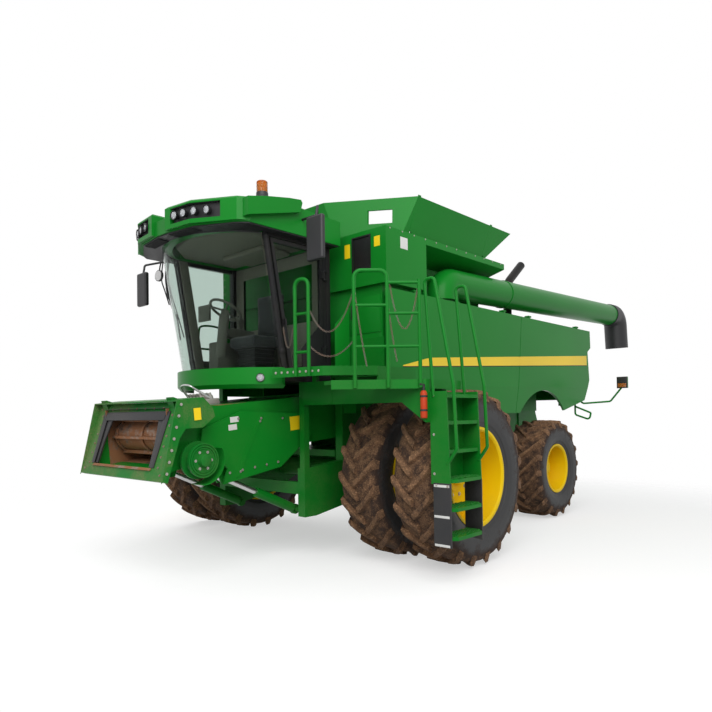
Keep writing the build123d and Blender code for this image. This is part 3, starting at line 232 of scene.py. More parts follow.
# Caked soil: clods, fine crumbs and damp patches, where the piece's soil attribute is high; lower values
# darken it, a painted shade in the lug recesses.
def makeSoilGroup():
    inputs = {"Rubber": (0.016, 0.016, 0.017, 1), "Dry": (0.20, 0.105, 0.052, 1),
              "DampAndShade": (0.030, 0.015, 0.009, 1), "Straw": (0.40, 0.22, 0.11, 1)}
    group, given, out = newGroup("cakedSoil", inputs, ["Colour", "Roughness", "Height"])
    spot = objectSpot(group)
    share = node(group, "ShaderNodeAttribute", attribute_name="soil").outputs["Fac"]
    clods = noiseOf(group, 9, 8, spot, 0.7)
    crumbs = noiseOf(group, 90, 5, spot, 0.7)
    patch = plus(group, times(group, share, 1.3), mathNode(group, "SUBTRACT", clods, 0.78))
    amount = ranged(group, patch, 0.0, 0.3)
    # painted shade: soil below full share, as on the tread between the lugs, is pulled towards the dark damp
    # colour
    depth = times(group, mathNode(group, "SUBTRACT", share, 1.0), 0.6)
    tone = plus(group, clods, times(group, crumbs, 0.6))
    tone = ranged(group, plus(group, tone, depth), 0.58, 0.92)
    soil = mixColour(group, tone, given["DampAndShade"], given["Dry"])
    specks = ranged(group, noiseOf(group, 55, 4, spot, 0.8), 0.52, 0.62)
    soil = mixColour(group, times(group, specks, tone), soil, given["Straw"])
    relief = plus(group, clods, times(group, crumbs, 0.5))
    wire(group, out, {"Colour": mixColour(group, amount, given["Rubber"], soil),
                      "Roughness": ranged(group, amount, 0.0, 1.0, 0.55, 0.95),
                      "Height": times(group, relief, amount)})
    return group


# Drawn or rolled steel: a streaked grain along one axis, with rust in patches.
def makeSteelGroup():
    inputs = {"Steel": (0.5, 0.48, 0.45, 1), "Rust": (0.20, 0.075, 0.03, 1), "Amount": 0.4}
    group, given, out = newGroup("rolledSteel", inputs, ["Colour", "Roughness", "Metallic", "Height"])
    spot = objectSpot(group)
    stretch = node(group, "ShaderNodeMapping", {"Scale": (0.04, 1, 1), "Vector": spot})
    streaks = noiseOf(group, 160, 3, stretch.outputs[0])
    patches = noiseOf(group, 7, 8, spot, 0.7)
    spread = times(group, given["Amount"], 2.0)
    rusted = mathNode(group, "MULTIPLY", ranged(group, patches, 0.36, 0.62), spread, clamp=True)
    scuffs = ranged(group, streaks, 0.3, 0.7, 0.0, 0.35)
    bright = mixColour(group, scuffs, given["Steel"], (0.16, 0.15, 0.14, 1))
    wire(group, out, {"Colour": mixColour(group, rusted, bright, given["Rust"]),
                      "Roughness": ranged(group, rusted, 0, 1, 0.34, 0.85),
                      "Metallic": ranged(group, rusted, 0, 1, 0.95, 0.05),
                      "Height": plus(group, times(group, streaks, 0.3), patches)})
    return group


# Woven cloth: two crossed thread waves, the yarn darker in the gaps and lighter on the crossings, a painted
# shade and highlight.
def makeWeaveGroup():
    inputs = {"Yarn": (0.06, 0.06, 0.065, 1), "Threads": 220.0}
    group, given, out = newGroup("wovenCloth", inputs, ["Colour", "Height"])
    values = {"Distortion": 0.6, "Scale": given["Threads"], "Vector": objectSpot(group)}
    across, along = [node(group, "ShaderNodeTexWave", values, wave_type="BANDS", bands_direction=axis)
                     for axis in ("X", "Y")]
    height = times(group, across.outputs["Fac"], along.outputs["Fac"])
    # painted shade in the gaps between threads and painted highlight on their crossings
    shade = ranged(group, height, 0, 1, 0.7, 1.25)
    tone = node(group, "ShaderNodeHueSaturation", {"Color": given["Yarn"], "Value": shade})
    wire(group, out, {"Colour": tone.outputs[0], "Height": height})
    return group


groups = {"dust": makeDustGroup(), "soil": makeSoilGroup(), "steel": makeSteelGroup(),
          "weave": makeWeaveGroup()}


def placeGroup(tree, name, values=None):
    return node(tree, "ShaderNodeGroup", values, node_tree=groups[name]).outputs


def startMaterial(name):
    finish = bpy.data.materials.new(name)
    finish.use_nodes = True
    tree = finish.node_tree
    return finish, tree, tree.nodes["Principled BSDF"]


def bumpFrom(tree, shader, height, strength, distance):
    bump = node(tree, "ShaderNodeBump", {"Strength": strength, "Distance": distance, "Height": height})
    wire(tree, shader, {"Normal": bump.outputs[0]})


# The dust film over a colour, with its colour and roughness given to the shader.
def dusty(tree, shader, colour, dust, cleanHeight, rough):
    values = {"Colour": (*colour, 1), "Amount": dust, "Clean Height": cleanHeight, "Roughness": rough}
    film = placeGroup(tree, "dust", values)
    wire(tree, shader, {"Base Color": film["Colour"], "Roughness": film["Roughness"]})
    return film


# Machine paint over steel, with a faint orange peel and field dust.
def paint(name, colour, dust=0.35, rough=0.34, coat=0.04, cleanHeight=2.6, peel=0.08):
    finish, tree, shader = startMaterial(name)
    film = dusty(tree, shader, colour, dust, cleanHeight, rough)
    wire(tree, shader, {"Specular IOR Level": 0.12, "Coat Weight": coat, "Coat Roughness": 0.12})
    skin = noiseOf(tree, 220, 2, objectSpot(tree))
    bumpFrom(tree, shader, plus(tree, times(tree, skin, peel), film["Height"]), 0.5, 0.002)
    return finish


def steel(name, colour, rust, tint=(0.20, 0.075, 0.03)):
    finish, tree, shader = startMaterial(name)
    skin = placeGroup(tree, "steel", {"Steel": (*colour, 1), "Rust": (*tint, 1), "Amount": rust})
    wire(tree, shader, {"Base Color": skin["Colour"], "Roughness": skin["Roughness"],
                        "Metallic": skin["Metallic"]})
    bumpFrom(tree, shader, skin["Height"], 0.4, 0.003)
    return finish


# Moulded plastic or rubber with a pebbled grain.
def moulded(name, colour, rough=0.5, grain=500.0, dust=0.15):
    finish, tree, shader = startMaterial(name)
    dusty(tree, shader, colour, dust, 3.2, rough)
    cells = node(tree, "ShaderNodeTexVoronoi", {"Scale": grain, "Vector": objectSpot(tree)})
    bumpFrom(tree, shader, cells.outputs["Distance"], 0.25, 0.001)
    return finish


def cloth(name, colour):
    finish, tree, shader = startMaterial(name)
    yarn = placeGroup(tree, "weave", {"Yarn": (*colour, 1)})
    wire(tree, shader, {"Base Color": yarn["Colour"], "Roughness": 0.85, "Sheen Weight": 0.3})
    bumpFrom(tree, shader, yarn["Height"], 0.4, 0.001)
    return finish


def soiledRubber(name):
    finish, tree, shader = startMaterial(name)
    skin = placeGroup(tree, "soil")
    wire(tree, shader, {"Base Color": skin["Colour"], "Roughness": skin["Roughness"]})
    bumpFrom(tree, shader, skin["Height"], 0.9, 0.012)
    return finish


# Clear glass with faint smears.
def glassFinish(name, colour):
    finish, tree, shader = startMaterial(name)
    smears = noiseOf(tree, 3, 5, objectSpot(tree), 0.6)
    wire(tree, shader, {"Base Color": (*colour, 1), "IOR": 1.1, "Transmission Weight": 1.0,
                        "Roughness": ranged(tree, smears, 0.4, 0.8, 0.01, 0.09)})
    return finish


# Ribbed lamp glass.
def lensFinish(name, colour):
    finish, tree, shader = startMaterial(name)
    values = {"Scale": 60, "Vector": objectSpot(tree)}
    ribs = node(tree, "ShaderNodeTexWave", values, wave_type="BANDS", bands_direction="Z").outputs["Fac"]
    wire(tree, shader, {"Base Color": (*colour, 1), "Transmission Weight": 0.6,
                        "Roughness": ranged(tree, ribs, 0, 1, 0.08, 0.18)})
    bumpFrom(tree, shader, ribs, 0.4, 0.003)
    return finish


finishes = {finish.name: finish for finish in (
    paint("panelGreen", (0.005, 0.200, 0.017), dust=0.06, cleanHeight=2.2),
    paint("frameGreen", (0.004, 0.175, 0.015), dust=0.12, rough=0.40, cleanHeight=2.4),
    paint("wornGreen", (0.006, 0.165, 0.017), dust=0.75, rough=0.42, cleanHeight=3.0, peel=0.3),
    paint("castGreen", (0.006, 0.160, 0.018), dust=0.22, rough=0.50, coat=0.0, peel=0.5),
    paint("wheelYellow", (0.86, 0.58, 0.004), dust=0.12, rough=0.38, cleanHeight=1.6),
    paint("satinBlack", (0.012, 0.012, 0.013), dust=0.2, rough=0.45, coat=0.1),
    paint("darkGrey", (0.045, 0.047, 0.05), dust=0.3, rough=0.5, coat=0.0),
    paint("signalRed", (0.50, 0.045, 0.010), dust=0.3, rough=0.35),
    soiledRubber("soiledTread"),
    steel("wornSteel", (0.34, 0.30, 0.27), rust=0.5),
    steel("rustyDrum", (0.30, 0.22, 0.17), rust=0.9, tint=(0.26, 0.11, 0.045)),
    steel("groundSteel", (0.62, 0.62, 0.62), rust=0.0),
    steel("zincSteel", (0.55, 0.54, 0.50), rust=0.15),
    steel("chainSteel", (0.20, 0.19, 0.17), rust=0.3),
    glassFinish("cabGlass", (0.66, 0.74, 0.70)),
    moulded("mouldedBlack", (0.010, 0.010, 0.012), dust=0.04),
    moulded("mouldedGrey", (0.115, 0.110, 0.092), rough=0.6),
    moulded("liningTan", (0.20, 0.19, 0.15), rough=0.75, grain=300),
    moulded("chalkWhite", (0.72, 0.72, 0.70), grain=200, dust=0.25),
    moulded("plateYellow", (0.93, 0.65, 0.006), rough=0.4, grain=150, dust=0.05),
    cloth("seatCloth", (0.045, 0.045, 0.05)),
    lensFinish("amberLens", (0.95, 0.27, 0.01)),
    lensFinish("redLens", (0.60, 0.01, 0.005)),
    lensFinish("clearLens", (0.9, 0.92, 0.95)),
)}
# Finish of each part that comes from the frame; the rest is green panel.
carried = {
    "wheelYellow": ["front_rims_left", "front_rims_right", "rear_rim_left", "rear_rim_right"],
    "frameGreen": ["chassis_frame", "tie_rod", "tailboard", "straw_chopper", "separator_body", "shield_frame",
                   "ladder", "platform", "lift_barrel_left", "lift_barrel_right"],
    "wornGreen": ["feeder_faceplate"],
    "castGreen": ["front_axle", "rear_axle", "steering_knuckle_left", "steering_knuckle_right",
                  "feeder_pulley"],
    "cabGlass": ["cab_glass", "cab_door_glass"],
    "seatCloth": ["operator_seat"],
    "mouldedGrey": ["cab_controls"],
    "mouldedBlack": ["side_mirrors", "auger_spout"],
    "amberLens": ["beacon_lamp"],
    "satinBlack": ["exhaust_pipe", "engine_block", "cab_door", "cab_shell"],
    "rustyDrum": ["feeder_drum", "feeder_conveyor"],
    "groundSteel": ["lift_rod_left", "lift_rod_right"],
    "soiledTread": ["front_tyres_left", "front_tyres_right", "rear_tyre_left", "rear_tyre_right"],
}


def dressNodes():
    finishOf = {name: key for key, names in carried.items() for name in names}
    for name, piece in nodes.items():
        piece.data.materials.clear()
        piece.data.materials.append(finishes[finishOf.get(name, "panelGreen")])


dressNodes()
print("materials ready")


# Helpers for pieces
def addPiece(name, mesh, finish, body, smooth):
    piece = newObject(name, mesh)
    mesh.materials.clear()
    mesh.materials.append(finishes[finish])
    mesh.shade_smooth()
    mesh.set_sharp_from_angle(angle=radians(smooth))
    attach(piece, body)


# The piece with its modifiers worked into a plain mesh.
def settle(piece):
    view = bpy.context.evaluated_depsgraph_get()
    shown = piece.evaluated_get(view)
    mesh = bpy.data.meshes.new_from_object(shown, preserve_all_data_layers=True, depsgraph=view)
    piece.modifiers.clear()
    piece.data = mesh
    return mesh


# A geometry tree with inputs of the given kinds, and a last one for its material.
def newTree(name, inputs):
    tree = bpy.data.node_groups.new(name, "GeometryNodeTree")
    for way in ("INPUT", "OUTPUT"):
        tree.interface.new_socket("Geometry", in_out=way, socket_type="NodeSocketGeometry")
    for label, kind in {**inputs, "Material": "Material"}.items():
        tree.interface.new_socket(label, in_out="INPUT", socket_type="NodeSocket" + kind)
    return tree, tree.nodes.new("NodeGroupInput").outputs, tree.nodes.new("NodeGroupOutput")


# Puts a tree on a piece; values are given by the names of the tree's inputs.
def applyTree(piece, tree, **values):
    modifier = piece.modifiers.new(tree.name, "NODES")
    modifier.node_group = tree
    for item in tree.interface.items_tree:
        label = item.name.replace(" ", "_")
        if item.in_out == "INPUT" and label in values:
            modifier[item.identifier] = values[label]


def finishTree(tree, geometry, given, out):
    solid = node(tree, "GeometryNodeRealizeInstances", {0: geometry})
    dressed = node(tree, "GeometryNodeSetMaterial", {0: solid.outputs[0], "Material": given["Material"]})
    wire(tree, out, {0: dressed.outputs[0]})
    return tree


def joined(tree, *parts):
    join = node(tree, "GeometryNodeJoinGeometry")
    for part in parts:
        wire(tree, join, {0: part})
    return join.outputs[0]


# Turn that points an axis along the facing of each spot, and turn about X by an angle.
def facingTurn(tree, axis):
    facing = node(tree, "GeometryNodeInputNamedAttribute", {"Name": "facing"}, data_type="FLOAT_VECTOR")
    values = {"Vector": facing.outputs["Attribute"]}
    return node(tree, "FunctionNodeAlignRotationToVector", values, axis=axis).outputs[0]


def turnBy(tree, angle):
    turn = node(tree, "ShaderNodeCombineXYZ", {"X": angle})
    return node(tree, "FunctionNodeEulerToRotation", {0: turn.outputs[0]}).outputs[0]


# Shapes that several pieces are built from, all in metres
tilt = radians(5.30)     # of the feeder house
houseFrame = Matrix.Translation(place(0, 0.050, 1.720)) @ Matrix.Rotation(tilt, 4, "X")
machineFrame = Matrix.Translation(axleMiddle)


def bevelEdges(mesh, edges, bevel, segments):
    bmesh.ops.bevel(mesh, geom=edges, offset=bevel, segments=segments, affect="EDGES", profile=0.6,
                    clamp_overlap=True)


def addBlock(mesh, low, high, bevel=0.004, segments=2):
    spots = bmesh.ops.create_cube(mesh, size=1)["verts"]
    low, high = Vector(low), Vector(high)
    bmesh.ops.scale(mesh, vec=high - low, verts=spots)
    bmesh.ops.translate(mesh, vec=(low + high) / 2, verts=spots)
    bevelEdges(mesh, list({edge for spot in spots for edge in spot.link_edges}), bevel, segments)


# Faces between each ring of points and the next; all rings have the same count.
def loft(mesh, rings):
    faces = []
    for near, far in zip(rings, rings[1:]):
        for one in range(len(near)):
            two = (one + 1) % len(near)
            faces.append(mesh.faces.new((near[one], near[two], far[two], far[one])))
    return faces


def onAxis(axis, at, a, b):
    return {"x": (at, a, b), "y": (a, at, b), "z": (a, b, at)}[axis]


# Straight body with one outline, from low to high along an axis.
def addPrism(mesh, axis, outline, low, high, bevel=0.0, segments=2):
    near, far = [[mesh.verts.new(onAxis(axis, at, a, b)) for a, b in outline] for at in (low, high)]
    faces = [mesh.faces.new(near), mesh.faces.new(list(reversed(far)))] + loft(mesh, [far, near])
    bmesh.ops.recalc_face_normals(mesh, faces=faces)
    if bevel:
        bevelEdges(mesh, list({edge for face in faces for edge in face.edges}), bevel, segments)


# Body of revolution; profile is (along, radius), axis a direction, at its zero point.
def addTurned(mesh, profile, at, axis=(1, 0, 0), sides=32):
    along = Vector(axis).normalized()
    side = along.orthogonal().normalized()
    other = along.cross(side)
    turns = [side * cos(2 * pi * n / sides) + other * sin(2 * pi * n / sides) for n in range(sides)]
    rings = []
    for reach, radius in profile:
        middle = Vector(at) + along * reach
        if radius < 1e-6:
            rings.append([mesh.verts.new(middle)])
        else:
            rings.append([mesh.verts.new(middle + turn * radius) for turn in turns])
    faces = []
    for near, far in zip(rings, rings[1:]):
        for one in range(sides):
            two = (one + 1) % sides
            corners = [near[one % len(near)], near[two % len(near)], far[two % len(far)], far[one % len(far)]]
            faces.append(mesh.faces.new(list(dict.fromkeys(corners))))
    for ring in (rings[0], rings[-1]):
        if len(ring) > 1:
            faces.append(mesh.faces.new(ring))
    bmesh.ops.recalc_face_normals(mesh, faces=faces)


def meshFrom(shape, name):
    made = bpy.data.meshes.new(name)
    shape.to_mesh(made)
    shape.free()
    return made


def pieceFrom(mesh, name, finish, body, base=machineFrame):
    made = meshFrom(mesh, name)
    made.transform(base)
    addPiece(name, made, finish, body, 35)


# Bent round bars: each row of points is one bar, a smooth curve inside its corners.
def bentBars(name, rows, radius, finish, body, base=machineFrame):
    curve = bpy.data.curves.new(name, "CURVE")
    curve.dimensions = "3D"
    curve.bevel_depth = radius
    curve.bevel_resolution = 3
    curve.use_fill_caps = True
    for row in rows:
        spline = curve.splines.new("NURBS")
        spline.points.add(len(row) - 1)
        for spot, at in zip(spline.points, row):
            spot.co = (*at, 1)
        spline.order_u = min(3, len(row))
        spline.use_endpoint_u = True
        spline.resolution_u = 6
    holder = newObject(name, curve)
    made = bpy.data.meshes.new_from_object(holder.evaluated_get(bpy.context.evaluated_depsgraph_get()))
    bpy.data.objects.remove(holder)
    made.transform(base)
    made.name = name
    addPiece(name, made, finish, body, 40)


# A tree's shapes on each of the rows of (spot, facing), worked into one plain mesh.
def addField(name, tree, rows, finish, body, slotName, base=machineFrame, **values):
    mesh = bpy.data.meshes.new(name)
    mesh.from_pydata([base @ Vector(spot) for spot, facing in rows], [], [])
    facings = mesh.attributes.new("facing", "FLOAT_VECTOR", "POINT")
    for value, (spot, facing) in zip(facings.data, rows):
        value.vector = (base.to_3x3() @ Vector(facing)).normalized()
    piece = newObject(name, mesh)
    applyTree(piece, tree, Material=finishes[finish], **values)
    settle(piece)
    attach(piece, body)


# Hexagon bolts with washers, standing along the facing of each spot.
def makeBoltTree():
    tree, given, out = newTree("boltTree", {"Size": "Float"})
    parts = []
    for corners, wide, tall in ((6, 1.0, 0.65), (14, 1.5, 0.18)):
        values = {"Vertices": corners, "Radius": times(tree, given["Size"], wide),
                  "Depth": times(tree, given["Size"], tall)}
        parts.append(node(tree, "GeometryNodeMeshCylinder", values).outputs["Mesh"])
    lift = node(tree, "ShaderNodeCombineXYZ", {"Z": times(tree, given["Size"], 0.35)})
    raised = node(tree, "GeometryNodeTransform", {"Geometry": parts[0], "Translation": lift.outputs[0]})
    values = {"Points": given["Geometry"], "Instance": joined(tree, raised.outputs[0], parts[1]),
              "Rotation": facingTurn(tree, "Z")}
    spread = node(tree, "GeometryNodeInstanceOnPoints", values)
    return finishTree(tree, spread.outputs[0], given, out)


boltTree = makeBoltTree()


def boltField(name, rows, size, body, base=machineFrame, finish="zincSteel"):
    addField(name, boltTree, rows, finish, body, "worn_steel", base, Size=size)


# Spots round a circle that faces along x, and spots along a line.
def ringOf(count, radius, at, facing=1):
    rows = []
    for number in range(count):
        angle = 2 * pi * number / count
        offset = Vector((0, radius * cos(angle), radius * sin(angle)))
        rows.append((tuple(Vector(at) + offset), (facing, 0, 0)))
    return rows


def lineOf(count, start, end, facing):
    start, end = Vector(start), Vector(end)
    return [(tuple(start.lerp(end, n / max(count - 1, 1))), facing) for n in range(count)]


# Tyres: a carcass and one pair of lugs, repeated round the axle and roughened with soil
tyreShape = {"lugHeight": 0.045, "lugFoot": 0.36, "lugTop": (0.06, 0.30), "shoulder": 0.90,
             "shoulderDrop": 0.012, "soilHeight": 0.020, "soilScale": 7.0, "steps": 7, "stagger": 0.5,
             "lugEnd": [(0.02, -0.13), (0.10, -0.115), (0.13, -0.11), (0.25, -0.11), (0.29, -0.115),
                        (0.38, -0.13)]}
wheelSet = {
    "front": {"y": 0, "radius": 0.975, "width": 0.530, "rimRadius": 0.556, "lugs": 20,
              "disc": 2.199, "hub": 0.175, "circle": 0.225, "bolts": 10},
    "rear": {"y": 3.56, "radius": 0.775, "width": 0.640, "rimRadius": 0.388, "lugs": 18,
             "disc": 1.538, "hub": 0.13, "circle": 0.165, "bolts": 8},
}
tyrePieces = {
    "frontTyreInnerLeft": ("front", 1.524, "front_wheels_left", "front_tyres_left"),
    "frontTyreOuterLeft": ("front", 2.286, "front_wheels_left", "front_tyres_left"),
    "frontTyreInnerRight": ("front", -1.524, "front_wheels_right", "front_tyres_right"),
    "frontTyreOuterRight": ("front", -2.286, "front_wheels_right", "front_tyres_right"),
    "rearTyreLeft": ("rear", 1.510, "rear_wheel_left", "rear_tyre_left"),
    "rearTyreRight": ("rear", -1.510, "rear_wheel_right", "rear_tyre_right"),
}
hubPieces = {
    "frontHubLeft": ("front", 1, "front_wheels_left"),
    "frontHubRight": ("front", -1, "front_wheels_right"),
    "rearHubLeft": ("rear", 1, "rear_wheel_left"),
    "rearHubRight": ("rear", -1, "rear_wheel_right"),
}


def onTread(x, angle, radius):
    return Vector((x, radius * cos(angle), radius * sin(angle)))


# One lug as a curved, tapered bar from just past the middle to the shoulder, and on down the side wall.
def addLug(mesh, side, radius, width, lugs, lead):
    pitch = 2 * pi / lugs
    half = width / 2 * tyreShape["shoulder"]
    first, last = tyreShape["lugTop"]
    valley = radius - tyreShape["lugHeight"] - 0.012
    rows = []
    for step in range(tyreShape["steps"] + 1):
        share = -0.06 + 1.06 * step / tyreShape["steps"]
        x = side * share * half
        lag = max(share, 0) * half / radius * (0.86 + 0.14 * max(share, 0))
        crest = radius - tyreShape["shoulderDrop"] * share * share
        outline = [(0, valley), (first, crest - 0.006), (first + 0.03, crest), (last - 0.03, crest),
                   (last, crest - 0.006), (tyreShape["lugFoot"] * (1.0 + 0.10 * share), valley)]
        angle = lead - lag
        rows.append([mesh.verts.new(onTread(x, angle + part * pitch, r)) for part, r in outline])
    x, angle = side * width / 2 * 0.985, lead - half / radius
    rows.append([mesh.verts.new(onTread(x, angle + (part - 0.02) * pitch, radius + r))
                 for part, r in tyreShape["lugEnd"]])
    loft(mesh, rows)
    mesh.faces.new(list(reversed(rows[0])))
    mesh.faces.new(rows[-1])


def makeLugPair(radius, width, lugs):
    mesh = bmesh.new()
    addLug(mesh, 1, radius, width, lugs, 0)
    addLug(mesh, -1, radius, width, lugs, 2 * pi / lugs * tyreShape["stagger"])
    bmesh.ops.recalc_face_normals(mesh, faces=mesh.faces)
    made = meshFrom(mesh, "lugPair")
    for spot in made.attributes.new("soil", "FLOAT", "POINT").data:
        spot.value = 1.0
    return made


# The half section is rows of (across, radius, soil), from the middle of the tread to the rim.
def makeCarcass(radius, width, rimRadius):
    depth, half = radius - rimRadius, width / 2
    ground = radius - tyreShape["lugHeight"]
    # the tread's soil of 0.80, below the lugs' 1.0, darkens its soil: painted shade in the recesses between
    # the lugs
    side = [(0.0, ground, 0.80), (0.45 * half, ground - 0.002, 0.80), (0.80 * half, ground - 0.012, 0.80),
            (0.92 * half, ground - 0.035, 0.75), (0.975 * half, ground - 0.085, 0.42),
            (half, rimRadius + 0.50 * depth, 0.20), (0.985 * half, rimRadius + 0.30 * depth, 0.14),
            (0.93 * half, rimRadius + 0.12 * depth, 0.12), (0.90 * half, rimRadius + 0.105 * depth, 0.10),
            (0.86 * half, rimRadius + 0.05 * depth, 0.10), (0.83 * half, rimRadius + 0.001, 0.10)]
    section = [(-x, r, soil) for x, r, soil in reversed(side[1:])] + side
    mesh = bmesh.new()
    soilLayer = mesh.verts.layers.float.new("soil")
    turns = 96
    rings = []
    for turn in range(turns):
        ring = []
        for x, r, soil in section:
            spot = mesh.verts.new(onTread(x, 2 * pi * turn / turns, r))
            spot[soilLayer] = soil
            ring.append(spot)
        rings.append(ring)
    loft(mesh, rings + rings[:1])
    bmesh.ops.recalc_face_normals(mesh, faces=mesh.faces)
    return meshFrom(mesh, "carcass")


def makeTyreTree():
    tree, given, out = newTree("tyreTree", {"Carcass": "Object", "Lugs": "Int", "Centre": "Vector",
                                            "Soil Height": "Float", "Soil Scale": "Float"})
    line = node(tree, "GeometryNodeMeshLine", {"Count": given["Lugs"], "Offset": (0, 0, 0)}, mode="OFFSET")
    index = node(tree, "GeometryNodeInputIndex").outputs[0]
    angle = times(tree, index, mathNode(tree, "DIVIDE", 2 * pi, given["Lugs"]))
    values = {"Points": line.outputs[0], "Instance": given["Geometry"], "Rotation": turnBy(tree, angle)}
    spread = node(tree, "GeometryNodeInstanceOnPoints", values)
    lugs = node(tree, "GeometryNodeRealizeInstances", {0: spread.outputs[0]}).outputs[0]
    whole = node(tree, "GeometryNodeObjectInfo", {"Object": given["Carcass"]}, transform_space="ORIGINAL")
    finer = [node(tree, "GeometryNodeSubdivideMesh", {0: part, "Level": 2}).outputs[0]
             for part in (lugs, whole.outputs["Geometry"])]
    spot = node(tree, "GeometryNodeInputPosition").outputs[0]
    shifted = node(tree, "ShaderNodeVectorMath", {0: spot, 1: given["Centre"]}, operation="ADD")
    noise = noiseOf(tree, given["Soil Scale"], 5, shifted.outputs[0], 0.6)
    tall = times(tree, mathNode(tree, "SUBTRACT", noise, 0.62), given["Soil Height"])
    soil = node(tree, "GeometryNodeInputNamedAttribute", {"Name": "soil"}, data_type="FLOAT")
    values = {0: node(tree, "GeometryNodeInputNormal").outputs[0],
              "Scale": times(tree, tall, soil.outputs["Attribute"])}
    offset = node(tree, "ShaderNodeVectorMath", values, operation="SCALE")
    values = {"Geometry": joined(tree, *finer), "Offset": offset.outputs[0]}
    rough = node(tree, "GeometryNodeSetPosition", values)
    moved = node(tree, "GeometryNodeSetPosition", {"Geometry": rough.outputs[0], "Offset": given["Centre"]})
    return finishTree(tree, moved.outputs[0], given, out)


def makeTyres():
    tree = makeTyreTree()
    cast = {}
    for kind, row in wheelSet.items():
        radius, width = row["radius"], row["width"]
        cast[kind] = (makeLugPair(radius, width, row["lugs"]), makeCarcass(radius, width, row["rimRadius"]))
    for name, (kind, x, body, cadNode) in tyrePieces.items():
        row = wheelSet[kind]
        lugPair, wall = cast[kind]
        carcass = newObject("carcass", wall)
        piece = newObject(name, lugPair)
        applyTree(piece, tree, Carcass=carcass, Lugs=row["lugs"], Centre=place(x, row["y"], row["radius"]),
                  Soil_Height=tyreShape["soilHeight"], Soil_Scale=tyreShape["soilScale"],
                  Material=finishes["soiledTread"])
        mesh = settle(piece)
        mesh.shade_smooth()
        mesh.set_sharp_from_angle(angle=radians(50))
        bpy.data.objects.remove(carcass)
        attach(piece, body)
        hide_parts(cadNode)


def makeHubs():
    for name, (kind, side, body) in hubPieces.items():
        row = wheelSet[kind]
        hub, circle = row["hub"], row["circle"]
        at = (side * row["disc"], row["y"], row["radius"])
        mesh = bmesh.new()
        addTurned(mesh, [(0, circle + 0.045), (0.006, circle + 0.045), (0.010, circle + 0.035),
                         (0.010, hub * 0.8)], at, (side, 0, 0), 40)
        addTurned(mesh, [(0, hub * 0.62), (0.075, hub * 0.60), (0.090, hub * 0.50), (0.090, hub * 0.2),
                         (0.082, 0)], at, (side, 0, 0), 32)
        pieceFrom(mesh, name, "wheelYellow", body)
        spot = (side * (row["disc"] + 0.010), row["y"], row["radius"])
        boltField(name + "Bolts", ringOf(row["bolts"], circle, spot, side), 0.016, body)


makeTyres()
makeHubs()
print("wheels ready")

# Cab: lamps, lining, trims, wipers, seat and controls
roofLamps = {"spots": [(0.30, -2.412, 3.84), (0.44, -2.392, 3.84), (0.58, -2.352, 3.84),
                       (0.71, -2.280, 3.84)],
             "facing": (0.22, -0.97, -0.05), "radius": 0.046, "deep": 0.05}
chinLamps = {"spots": [(0.80, -1.664, 2.105), (-0.80, -1.664, 2.105)], "facing": (0.76, -0.65),
             "radius": 0.045, "deep": 0.03}
roofRecess = {"wall": [(0.232, -2.362), (0.540, -2.315), (0.823, -2.157)], "z": (3.758, 3.924), "deep": 0.045}


# One lamp: its ring, its polished bowl and its lens.
def addLampParts(shell, bowl, lens, at, facing, radius, deep):
    ring = [(-deep, radius * 0.6), (-deep * 0.4, radius), (0, radius * 1.04), (0.010, radius * 1.04),
            (0.010, radius * 0.93), (-0.004, radius * 0.90)]
    addTurned(shell, ring, at, facing, 24)
    addTurned(bowl, [(-0.004, radius * 0.90), (-deep * 0.5, radius * 0.55), (-deep * 0.6, 0)], at, facing, 24)
    addTurned(lens, [(-0.002, radius * 0.92), (0.006, radius * 0.70), (0.010, 0)], at, facing, 24)


def makeLamps():
    shell, bowl, lens = bmesh.new(), bmesh.new(), bmesh.new()
    x, y, z = roofLamps["facing"]
    for side in (1, -1):
        for spot in roofLamps["spots"]:
            at = (side * spot[0], spot[1], spot[2])
            addLampParts(shell, bowl, lens, at, (side * x, y, z), roofLamps["radius"], roofLamps["deep"])
    out, forward = chinLamps["facing"]
    for spot in chinLamps["spots"]:
        facing = (out if spot[0] > 0 else -out, forward, 0)
        addLampParts(shell, bowl, lens, spot, facing, chinLamps["radius"], chinLamps["deep"])
    pieceFrom(shell, "lampRings", "mouldedBlack", "machine")
    pieceFrom(bowl, "lampBowls", "groundSteel", "machine")
    pieceFrom(lens, "lampLenses", "clearLens", "machine")


# Black lining of the two lamp recesses: back wall, floor and ceiling.
def makeRecessLiners():
    mesh = bmesh.new()
    low, high = roofRecess["z"]
    wall = roofRecess["wall"]
    for side in (1, -1):
        back = [(side * x, y) for x, y in wall]
        thin = [(side * x, y - 0.004) for x, y in reversed(wall)]
        deep = [(side * x, y - roofRecess["deep"]) for x, y in reversed(wall)]
        addPrism(mesh, "z", back + thin, low, high)
        addPrism(mesh, "z", back + deep, low, low + 0.004)
        addPrism(mesh, "z", back + deep, high - 0.004, high)
    pieceFrom(mesh, "recessLiners", "mouldedBlack", "machine")


# Flat ring between two outlines with the same number of points.
def addRing(mesh, outer, inner, low, high):
    rows = [[mesh.verts.new((*spot, z)) for spot in outline] for z, outline in
            ((low, outer), (high, outer), (high, inner), (low, inner))]
    bmesh.ops.recalc_face_normals(mesh, faces=loft(mesh, rows + rows[:1]))


# Dark panel under the overhang of the roof, with an air grille along its front.
eaves = {"outer": [(1.045, -0.66), (1.045, -1.99), (0.93, -2.095), (0.53, -2.31), (0.12, -2.37)],
         "inner": [(0.93, -0.66), (0.93, -1.70), (0.70, -1.97), (0.40, -2.15), (0.10, -2.215)],
         "z": (3.687, 3.699), "slats": 14, "slatX": 0.12, "slatPitch": 0.028, "slatFront": -2.36,
         "slatLong": 0.13}


